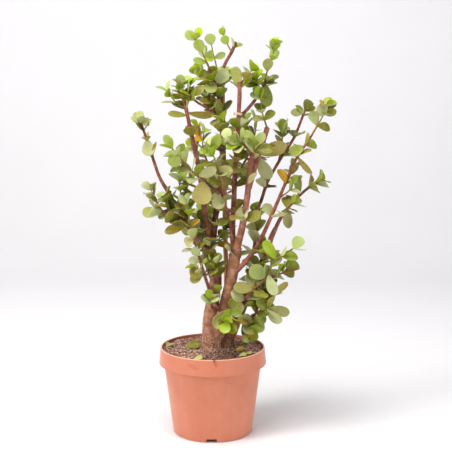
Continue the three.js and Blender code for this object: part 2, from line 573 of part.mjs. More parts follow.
// Height of the mix: slightly mounded towards the trunks, with shallow dips.
function soilHeight(x, y) {
  const middle = Math.max(0, 1 - Math.hypot(x - 10, y) / 70);
  const dips = Math.sin(x * 0.075 + 1) * Math.cos(y * 0.09) + 0.5 * Math.sin(x * 0.19 + y * 0.15);
  return SOIL.top + SOIL.mound * middle + SOIL.swell * dips;
}

function makeSoil() {
  const wall = POT.wall + GAP;
  const ledge = POT.bandFoot + POT.ledge + GAP;
  const shoulder = SOIL.top - SOIL.step;
  const geometry = lathe([
    [0, POT.base + GAP],
    [potOuterRadius(POT.base) - wall, POT.base + GAP],
    [POT.wallTopRadius - wall, ledge],
    [bandRadius(ledge) - wall, ledge],
    [bandRadius(shoulder) - wall, shoulder],
    [bandRadius(shoulder) - wall - SOIL.edge, SOIL.top],
    ...SOIL.rings.map((radius) => [radius, SOIL.top]),
    [0, SOIL.top],
  ]);
  const position = geometry.attributes.position;
  for (let k = 0; k < position.count; k += 1) {
    if (position.getZ(k) > shoulder + 1) {
      position.setZ(k, soilHeight(position.getX(k), position.getY(k)));
    }
  }
  return solid(geometry);
}

function stakeSolid(extra) {
  const foot = new THREE.Vector3(...STAKE.foot);
  const top = new THREE.Vector3(...STAKE.top);
  const line = new THREE.LineCurve3(foot, top);
  const radius = STAKE.radius + extra;
  const geometry = new THREE.CylinderGeometry(radius, radius, line.getLength() + extra, STAKE.sides);
  const upright = new THREE.Vector3(0, 1, 0);
  geometry.applyQuaternion(new THREE.Quaternion().setFromUnitVectors(upright, line.getTangent(0)));
  geometry.translate(...line.getPoint(0.5).toArray());
  return solid(geometry);
}

// An oval ring of wire or raffia lying level round stems: centre, half-widths and thickness.
function tieSolid({ centre, half, thickness, turn = 0, tilt = 0 }) {
  const geometry = new THREE.TorusGeometry(2, 1, 6, 20);
  const position = geometry.attributes.position;
  for (let k = 0; k < position.count; k += 1) {
    const x = position.getX(k);
    const y = position.getY(k);
    const round = Math.atan2(y, x);
    const bulge = Math.hypot(x, y) - 2;
    const reachX = half[0] + (bulge * thickness) / 2;
    const reachY = half[1] + (bulge * thickness) / 2;
    const level = (position.getZ(k) * thickness) / 2;
    position.setXYZ(k, reachX * Math.cos(round), reachY * Math.sin(round), level);
  }
  geometry.rotateY(tilt * RADIANS);
  geometry.rotateZ(turn * RADIANS);
  geometry.translate(...centre);
  return solid(geometry);
}

function fallenLeaf([x, y, turn, length, width]) {
  const geometry = leafGeometry(length, width, LEAF.thickness);
  geometry.rotateZ(turn * RADIANS);
  geometry.translate(x, y, 0);
  const position = geometry.attributes.position;
  let rest = 0;
  for (let k = 0; k < position.count; k += 1) {
    rest = Math.max(rest, soilHeight(position.getX(k), position.getY(k)));
  }
  geometry.translate(0, 0, rest + LEAF.thickness / 2 + GAP);
  return solid(geometry);
}

// ---- The object -------------------------------------------------------------------------------
function finish(color, roughness) {
  return new THREE.MeshStandardMaterial({ color, roughness, metalness: 0 });
}

const FINISH = {
  pot: finish(0xd98e70, 0.55),
  soil: finish(0x6b5142, 0.95),
  bark: finish(0x8a5a52, 0.8),
  foliage: finish(0x87a03c, 0.45),
  cane: finish(0xb98a5a, 0.7),
  wire: finish(0x2f7d4d, 0.4),
  raffia: finish(0xd8c7a0, 0.85),
};

const object = new THREE.Group();

function place(name, manifold, material) {
  const mesh = new THREE.Mesh(geometryOf(manifold), material);
  mesh.name = name;
  object.add(mesh);
}

const pot = makePot();
const soil = makeSoil();
const stems = growPlant();

// Each piece gives way to the ones made before it, so that it meets them across the gap.
const placed = [stakeSolid(GAP)];

function giveWay(shape) {
  const meeting = placed.filter((other) => boxesMeet(shape, other));
  const cut = meeting.reduce((left, other) => left.subtract(other), shape);
  return largestPiece(cut);
}

place("pot", pot, FINISH.pot);
place("stake", stakeSolid(0), FINISH.cane);
for (const stem of stems) {
  const material = stem.leaves.length > 0 ? FINISH.foliage : FINISH.bark;
  place(stem.name, giveWay(stemWithLeaves(stem, 0)), material);
  placed.push(stemWithLeaves(stem, GAP));
}
for (const [name, tie] of Object.entries(TIES)) {
  place(name, giveWay(tieSolid(tie)), name.startsWith("wire") ? FINISH.wire : FINISH.raffia);
}
FALLEN_LEAVES.forEach((row, order) => {
  place(`fallen_leaf_${order + 1}`, giveWay(fallenLeaf(row)), FINISH.foliage);
});
place("soil", giveWay(soil), FINISH.soil);

export default object;
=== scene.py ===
"""Looks of the potted jade plant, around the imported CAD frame.

The stems and leaves are grown by the same rules and from the same lists as the CAD model, in
millimetres, and then turned into fine meshes in metres. The order below is: small helpers, camera
and stage, materials, how the plant grows, the meshes of stems and leaves, the pot and what is in
it, the ties, and last the scene itself.
"""
import math

import bmesh
import bpy
import numpy as np
from mathutils import Matrix, Vector, noise


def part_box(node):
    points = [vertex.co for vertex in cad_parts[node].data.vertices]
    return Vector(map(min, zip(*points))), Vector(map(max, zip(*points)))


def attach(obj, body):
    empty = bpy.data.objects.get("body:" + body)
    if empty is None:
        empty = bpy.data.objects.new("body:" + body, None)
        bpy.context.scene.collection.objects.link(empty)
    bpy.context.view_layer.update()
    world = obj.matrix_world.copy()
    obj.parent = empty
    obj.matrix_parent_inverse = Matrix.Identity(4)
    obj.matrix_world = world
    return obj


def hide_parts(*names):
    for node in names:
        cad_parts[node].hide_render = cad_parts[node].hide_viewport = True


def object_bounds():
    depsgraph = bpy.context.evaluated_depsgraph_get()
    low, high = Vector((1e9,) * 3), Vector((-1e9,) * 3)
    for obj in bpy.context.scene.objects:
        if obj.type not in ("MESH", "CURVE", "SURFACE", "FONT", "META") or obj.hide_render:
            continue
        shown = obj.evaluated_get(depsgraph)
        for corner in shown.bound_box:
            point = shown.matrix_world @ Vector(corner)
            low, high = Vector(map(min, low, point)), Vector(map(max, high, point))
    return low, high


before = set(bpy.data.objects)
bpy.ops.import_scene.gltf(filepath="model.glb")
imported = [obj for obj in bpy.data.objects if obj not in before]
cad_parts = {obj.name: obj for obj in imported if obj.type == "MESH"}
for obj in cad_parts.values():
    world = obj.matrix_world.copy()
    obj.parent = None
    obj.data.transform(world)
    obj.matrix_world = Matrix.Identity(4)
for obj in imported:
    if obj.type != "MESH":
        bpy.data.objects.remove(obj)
cad_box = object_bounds()

MM = 0.001  # millimetres to metres
RIGHT = np.array([1.0, 0.0, 0.0])
FRONT = np.array([0.0, -1.0, 0.0])
UP = np.array([0.0, 0.0, 1.0])
SEEDS = {"growth": 20, "looks": 77, "crumbs": 5, "fallen": 9}


# ---- Small helpers ------------------------------------------------------------------------
class Dice:
    """The CAD model's seeded random numbers."""

    def __init__(self, seed):
        self.seed = seed

    def roll(self):
        self.seed = (self.seed * 1664525 + 1013904223) % 4294967296
        return self.seed / 4294967296

    def swing(self):
        return self.roll() - 0.5


def clamp(value):
    return min(1, max(0, value))


def circle(sides):
    """Evenly spaced angles all the way round."""
    return [2 * math.pi * k / sides for k in range(sides)]


def unit(vector):
    return vector / np.linalg.norm(vector)


def square_to(vector, way):
    """The part of vector that is square to way, at length 1."""
    return unit(vector - way * float(way @ vector))


def between(first, second, angle):
    """The way at an angle in radians from first towards second, which is square to it."""
    return first * math.cos(angle) + second * math.sin(angle)


def turned(vector, axis, angle):
    """vector turned about a unit axis by an angle in radians."""
    cosine = math.cos(angle)
    along = axis * float(axis @ vector) * (1 - cosine)
    return vector * cosine + np.cross(axis, vector) * math.sin(angle) + along


def add_object(name, data):
    thing = bpy.data.objects.new(name, data)
    bpy.context.scene.collection.objects.link(thing)
    return thing


# ---- Camera, light and stage --------------------------------------------------------------
EYE = (25, -1816, 658)
LOOK_DOWN = 8.44  # degrees below level
SENSOR = 36
FOCAL = 1000 / 452  # focal length over the picture's width


def add_camera():
    data = bpy.data.cameras.new("camera")
    data.sensor_width = SENSOR
    data.lens = SENSOR * FOCAL
    camera = add_object("camera", data)
    camera.location = Vector(EYE) * MM
    camera.rotation_euler = (math.radians(90 - LOOK_DOWN), 0, 0)
    bpy.context.scene.camera = camera


def add_area_light(name, place, aim, size, power, colour=(1, 1, 1)):
    data = bpy.data.lights.new(name, "AREA")
    data.shape = "RECTANGLE"
    data.size, data.size_y = size
    data.energy = power
    data.color = colour
    light = add_object(name, data)
    light.location = place
    light.rotation_euler = (Vector(aim) - Vector(place)).to_track_quat("-Z", "Y").to_euler()


def add_world():
    world = bpy.data.worlds.new("studio")
    world.use_nodes = True
    background = world.node_tree.nodes["Background"]
    background.inputs["Color"].default_value = (1.0, 0.99, 0.985, 1)
    background.inputs["Strength"].default_value = 0.12
    bpy.context.scene.world = world
    bpy.context.scene.view_settings.view_transform = "Standard"


def add_stage():
    """A pale floor that curves up behind into a backdrop."""
    reach, back, bend, top = 6.0, 2.2, 0.8, 5.0
    steps = 12
    outline = [(-reach, 0.0), (back - bend, 0.0)]
    for k in range(1, steps + 1):
        angle = math.pi / 2 * k / steps
        outline.append((back - bend + bend * math.sin(angle), bend - bend * math.cos(angle)))
    outline.append((back, top))
    mesh = bpy.data.meshes.new("floor")
    points = [(side * reach, y, z) for side in (-1, 1) for y, z in outline]
    count = len(outline)
    faces = [(k, k + 1, count + k + 1, count + k) for k in range(count - 1)]
    mesh.from_pydata(points, [], faces)
    mesh.shade_smooth()
    floor = add_object("floor", mesh)
    floor.data.materials.append(floor_material())


# ---- Materials ------------------------------------------------------------------------------
def tone(red, green, blue):
    """A linear colour from 0-255 screen values."""
    def straighten(value):
        value = value / 255
        return value / 12.92 if value <= 0.04045 else ((value + 0.055) / 1.055) ** 2.4
    return (straighten(red), straighten(green), straighten(blue), 1)


class Shader:
    """A material with a Principled surface and short ways to add and link nodes."""

    def __init__(self, name):
        self.material = bpy.data.materials.new(name)
        self.material.use_nodes = True
        self.tree = self.material.node_tree
        self.surface = self.tree.nodes["Principled BSDF"]
        self.place = self.add("TexCoord").outputs["Object"]
        self.colour = None

    def add(self, kind, **settings):
        node = self.tree.nodes.new(f"ShaderNode{kind}")
        for key, value in settings.items():
            setattr(node, key, value)
        return node

    def feed(self, socket, value):
        if isinstance(value, bpy.types.NodeSocket):
            self.tree.links.new(value, socket)
        else:
            socket.default_value = value

    def noise(self, scale, detail=3, distortion=0.0, stretch=None):
        node = self.add("TexNoise")
        node.inputs["Scale"].default_value = scale
        node.inputs["Detail"].default_value = detail
        node.inputs["Distortion"].default_value = distortion
        place = self.place
        if stretch:
            mapping = self.add("Mapping")
            mapping.inputs["Scale"].default_value = stretch
            self.feed(mapping.inputs["Vector"], self.place)
            place = mapping.outputs["Vector"]
        self.feed(node.inputs["Vector"], place)
        return node.outputs["Fac"]

    def grains(self, scale, output="Distance"):
        node = self.add("TexVoronoi")
        node.inputs["Scale"].default_value = scale
        self.feed(node.inputs["Vector"], self.place)
        return node.outputs[output]

    def mark(self, name):
        """A number painted on the mesh's points."""
        return self.add("Attribute", attribute_name=name).outputs["Fac"]

    def spot(self, middle, reach, ragged=0.0):
        """1 at a place on the piece, in metres, and 0 from that far on, with an uneven edge."""
        gap = self.add("VectorMath", operation="DISTANCE")
        self.feed(gap.inputs[0], self.place)
        gap.inputs[1].default_value = middle
        edge = self.plus(gap.outputs["Value"], self.times(self.noise(260, 4), ragged))
        return self.range(edge, reach * 0.3, reach, 1, 0)

    def sum(self, kind, first, second=0.0):
        node = self.add("Math", operation=kind)
        self.feed(node.inputs[0], first)
        self.feed(node.inputs[1], second)
        return node.outputs[0]

    def plus(self, first, second):
        return self.sum("ADD", first, second)

    def times(self, first, second):
        return self.sum("MULTIPLY", first, second)

    def range(self, value, low, high, to_low=0.0, to_high=1.0):
        """value stretched from low to high onto to_low to to_high."""
        node = self.add("MapRange")
        self.feed(node.inputs["Value"], value)
        keys = ("From Min", "From Max", "To Min", "To Max")
        for key, number in zip(keys, (low, high, to_low, to_high)):
            node.inputs[key].default_value = number
        return node.outputs["Result"]

    def ramp(self, value, stops):
        """Screen colours at places from 0 to 1."""
        node = self.add("ValToRGB")
        elements = node.color_ramp.elements
        while len(elements) < len(stops):
            elements.new(0.5)
        for element, (position, colour) in zip(elements, stops):
            element.position = position
            element.color = tone(*colour)
        self.feed(node.inputs["Fac"], value)
        return node.outputs["Color"]

    def mix(self, amount, first, second, blend="MIX"):
        node = self.add("Mix", data_type="RGBA", blend_type=blend)
        self.feed(node.inputs["Factor"], amount)
        self.feed(node.inputs["A"], first)
        self.feed(node.inputs["B"], second)
        return node.outputs["Result"]

    def over(self, amount, *paint):
        """Lays a share of a screen colour, or of another node's colour, over the one so far."""
        self.colour = self.mix(amount, self.colour, tone(*paint) if len(paint) == 3 else paint[0])

    def bump(self, height, strength, distance, under=None):
        node = self.add("Bump")
        node.inputs["Strength"].default_value = strength
        node.inputs["Distance"].default_value = distance
        self.feed(node.inputs["Height"], height)
        if under is not None:
            self.feed(node.inputs["Normal"], under)
        return node.outputs["Normal"]

    def finish(self, roughness, normal=None, **surface):
        self.feed(self.surface.inputs["Base Color"], self.colour)
        self.feed(self.surface.inputs["Roughness"], roughness)
        if normal is not None:
            self.feed(self.surface.inputs["Normal"], normal)
        for key, value in surface.items():
            self.feed(self.surface.inputs[key.replace("_", " ")], value)
        return self.material


def floor_material():
    shader = Shader("pale_floor")
    shader.colour = shader.mix(shader.noise(3), tone(234, 233, 236), tone(240, 239, 242))
    return shader.finish(0.6)


# Dirty streaks on the pot's band: place, reach and strength. Two small nicks lower down.
POT_STREAKS = [
    ((0.004, -0.097, 0.160), 0.006, 0.75), ((0.006, -0.0985, 0.156), 0.007, 0.7),
    ((0.008, -0.099, 0.152), 0.006, 0.5), ((-0.042, -0.089, 0.151), 0.006, 0.2),
    ((-0.038, -0.091, 0.150), 0.007, 0.22), ((-0.034, -0.093, 0.149), 0.008, 0.24),
    ((-0.030, -0.0945, 0.147), 0.007, 0.24), ((-0.026, -0.096, 0.146), 0.006, 0.22),
]
POT_NICKS = [(0.034, -0.083, 0.114), (0.001, -0.088, 0.098)]


def pot_material():
    shader = Shader("terracotta_plastic")
    height = shader.add("SeparateXYZ")
    shader.feed(height.inputs[0], shader.place)
    height = height.outputs["Z"]
    cloud = shader.noise(14, 4)
    shader.colour = shader.ramp(cloud, [(0.3, (196, 112, 82)), (0.7, (208, 126, 95))])
    flow = shader.noise(60, 3, stretch=(1, 1, 0.12))
    shader.over(shader.range(flow, 0.5, 0.8, 0, 0.2), 224, 150, 122)
    dust = shader.range(shader.noise(220, 5, 0.6), 0.62, 0.78, 0, 0.3)
    shader.over(dust, 226, 164, 138)
    scratch = shader.noise(90, 2, 1.5, stretch=(1.2, 1.2, 7))
    shader.over(shader.range(scratch, 0.72, 0.78, 0, 0.5), 236, 186, 162)
    band = shader.range(height, 0.1305, 0.1325, 0, 0.35)
    shader.over(band, 196, 112, 86)
    # Painted highlight: a pale line round the top of the lip, where the rim catches the light.
    lip = shader.range(height, 0.1604, 0.1618, 0, 0.75)
    shader.over(lip, 240, 190, 166)
    for place, reach, strength in POT_STREAKS:
        streak = shader.times(shader.spot(place, reach, 0.003), strength)
        shader.over(streak, 158, 70, 48)
    for place in POT_NICKS:
        nick = shader.times(shader.spot(place, 0.0022), 0.6)
        shader.over(nick, 150, 76, 58)
    roughness = shader.range(shader.noise(40, 4), 0.3, 0.7, 0.42, 0.56)
    rings = shader.noise(1, 3, stretch=(2, 2, 900))
    normal = shader.bump(rings, 0.12, 0.0004)
    normal = shader.bump(shader.noise(700, 2), 0.15, 0.0002, normal)
    return shader.finish(
        roughness, normal, Specular_IOR_Level=0.5, Sheen_Weight=0.5, Sheen_Roughness=0.4,
        Sheen_Tint=tone(255, 226, 210),
    )


def bark_material():
    shader = Shader("bark")
    along = shader.mark("along")
    patch = shader.noise(95, 4, 0.4)
    red = shader.ramp(patch, [(0.3, (100, 48, 42)), (0.5, (138, 76, 64)), (0.72, (174, 110, 94))])
    tan = shader.ramp(patch, [(0.3, (134, 84, 60)), (0.5, (168, 114, 84)), (0.72, (200, 150, 116))])
    shader.colour = shader.mix(shader.mark("tan"), red, tan)
    flake = shader.range(shader.noise(240, 4, 0.6), 0.5, 0.72, 0, 0.5)
    shader.over(flake, 172, 122, 94)
    wobble = shader.times(shader.noise(60, 3), 9.0)
    rings = shader.sum("SINE", shader.plus(shader.times(along, 0.5), wobble))
    shader.over(shader.range(rings, 0.86, 1.0, 0, 0.2), 84, 54, 42)
    dust = shader.times(shader.mark("low"), shader.range(shader.noise(260, 4), 0.42, 0.56))
    speck = shader.range(shader.noise(360, 3), 0.46, 0.58)
    grit = shader.mix(speck, tone(96, 62, 54), tone(216, 182, 164))
    shader.over(dust, grit)
    green = shader.mix(shader.noise(60), tone(138, 116, 36), tone(146, 146, 40))
    shader.over(shader.mark("young"), green)
    pith = shader.mix(shader.noise(400), tone(176, 128, 96), tone(196, 152, 116))
    shader.over(shader.mark("cut"), pith)
    normal = shader.bump(rings, 0.1, 0.0002)
    normal = shader.bump(shader.noise(260, 5, 0.3), 0.5, 0.001, normal)
    roughness = shader.range(patch, 0.3, 0.7, 0.7, 0.5)
    return shader.finish(roughness, normal, Specular_IOR_Level=0.35)


def leaf_material():
    shader = Shader("fleshy_leaf")
    age = shader.mark("age")
    shader.colour = shader.ramp(age, [
        (0.0, (166, 196, 20)), (0.25, (144, 174, 10)), (0.5, (118, 140, 4)), (0.75, (102, 108, 4)),
        (1.0, (146, 130, 10)),
    ])
    mottle = shader.range(shader.noise(170, 4, 0.3), 0.35, 0.7)
    shader.over(shader.times(mottle, 0.2), 160, 164, 40)
    # Wax bloom and painted sheen: pale grey-green over many leaves, partly their real waxy bloom
    # and partly a painted highlight for the light on their upper faces.
    wax_and_sheen = shader.mix(shader.noise(90, 3), tone(188, 200, 136), tone(220, 228, 182))
    shader.over(shader.mark("bloom_and_sheen"), wax_and_sheen)
    shader.over(shader.mark("blush"), 200, 146, 6)
    sugar = shader.range(shader.noise(460, 4), 0.5, 0.7, 0, 0.55)
    shader.over(shader.times(sugar, age), 206, 206, 140)
    veins = shader.range(shader.mark("rib"), 0.0, 0.16, 0.16, 0)
    shader.over(veins, 174, 182, 60)
    rim = shader.range(shader.mark("edge"), 0.9, 1.0, 0, 0.4)
    shader.over(rim, 160, 100, 34)
    normal = shader.bump(shader.noise(420, 3), 0.12, 0.0006)
    roughness = shader.range(shader.noise(120, 3), 0.3, 0.7, 0.28, 0.44)
    return shader.finish(
        roughness, normal, Specular_IOR_Level=0.34, Subsurface_Weight=0.06,
        Subsurface_Scale=0.003, Coat_Weight=0.04, Coat_Roughness=0.25,
    )


def paint_front_shade(shader):
    """Painted shade: the mix is darker at the front right."""
    front_shade = shader.times(shader.spot((0.035, -0.06, 0.157), 0.09, 0.02), 0.7)
    shader.over(front_shade, 84, 50, 36)


def soil_material():
    shader = Shader("potting_mix")
    speck = shader.grains(520, "Color")
    shader.colour = shader.ramp(shader.noise(420, 5, 0.4), [
        (0.3, (88, 60, 48)), (0.48, (148, 108, 88)), (0.62, (190, 148, 124)),
        (0.8, (214, 182, 160)),
    ])
    shader.colour = shader.mix(0.3, shader.colour, speck, "OVERLAY")
    shader.over(shader.range(shader.noise(24, 3), 0.5, 0.65, 0, 0.4), 112, 66, 50)
    # Painted shade over the mix at the front right.
    paint_front_shade(shader)
    normal = shader.bump(shader.grains(620), 0.9, 0.002)
    normal = shader.bump(shader.noise(900, 4), 0.6, 0.0012, normal)
    return shader.finish(0.92, normal, Specular_IOR_Level=0.2)


def crumb_material():
    shader = Shader("soil_crumbs")
    kind = shader.mark("kind")
    shader.colour = shader.ramp(kind, [
        (0.0, (70, 46, 38)), (0.2, (118, 80, 64)), (0.38, (176, 130, 108)), (0.58, (212, 172, 150)),
        (0.8, (232, 206, 188)), (0.9, (160, 92, 64)), (0.985, (228, 220, 206)),
    ])
    shader.over(shader.range(shader.noise(900, 3), 0.4, 0.7, 0, 0.35), 84, 62, 50)
    # Painted shade over the crumbs at the front right, as on the mix.
    paint_front_shade(shader)
    normal = shader.bump(shader.noise(1300, 3), 0.7, 0.0008)
    return shader.finish(0.9, normal, Specular_IOR_Level=0.25)


def cane_material():
    shader = Shader("cane")
    grain = shader.noise(240, 4, 0.2, stretch=(1, 1, 0.05))
    shader.colour = shader.ramp(grain, [(0.3, (150, 104, 66)), (0.7, (196, 152, 104))])
    top = shader.range(shader.mark("along"), 560, 600)
    shader.over(top, 196, 122, 66)
    normal = shader.bump(grain, 0.4, 0.0008)
    return shader.finish(0.62, normal)


def wire_material():
    shader = Shader("coated_wire")
    shader.colour = shader.mix(shader.noise(300), tone(28, 104, 66), tone(64, 146, 98))
    normal = shader.bump(shader.noise(900), 0.2, 0.0003)
    return shader.finish(0.35, normal)


def raffia_material():
    shader = Shader("raffia")
    fibre = shader.noise(500, 3, stretch=(1, 1, 6))
    shader.colour = shader.ramp(fibre, [(0.3, (190, 168, 124)), (0.7, (226, 212, 178))])
    normal = shader.bump(fibre, 0.5, 0.0005)
    return shader.finish(0.8, normal)


# ---- How the plant grows: the CAD model's rules and lists --------------------------------------
THICKNESS = 1.9
WIDEST, NARROWEST = 1.0, 0.74  # a leaf's width over its length
SHORTEST, OLDER_GAIN, CHANCE_GAIN = 0.84, 0.3, 0.3  # a leaf's length over its stem's usual one
YOUNG_LIFT, OLD_LIFT = 52, 14  # degrees a leaf stands up from square to its stem
TURN_RANGE, LIFT_RANGE, ROLL_RANGE = 40, 36, 80  # chance in those angles, in degrees
LIGHT = np.array([-0.25, -0.75, 0.6])
FACING = 0.6  # how far a leaf turns to the light
SETBACK = 2.5  # a leaf's foot is this far below its node
CLEAR = 3.8  # the least gap between leaves
STEM_CLEAR = 2.5  # the least gap between a leaf and a stem that doesn't bear it
MARK_STEP = 6  # distance between the places checked along a stem
TRIES = 6
BOX_SLACK = 6  # side shoots stay within this of the CAD model's box

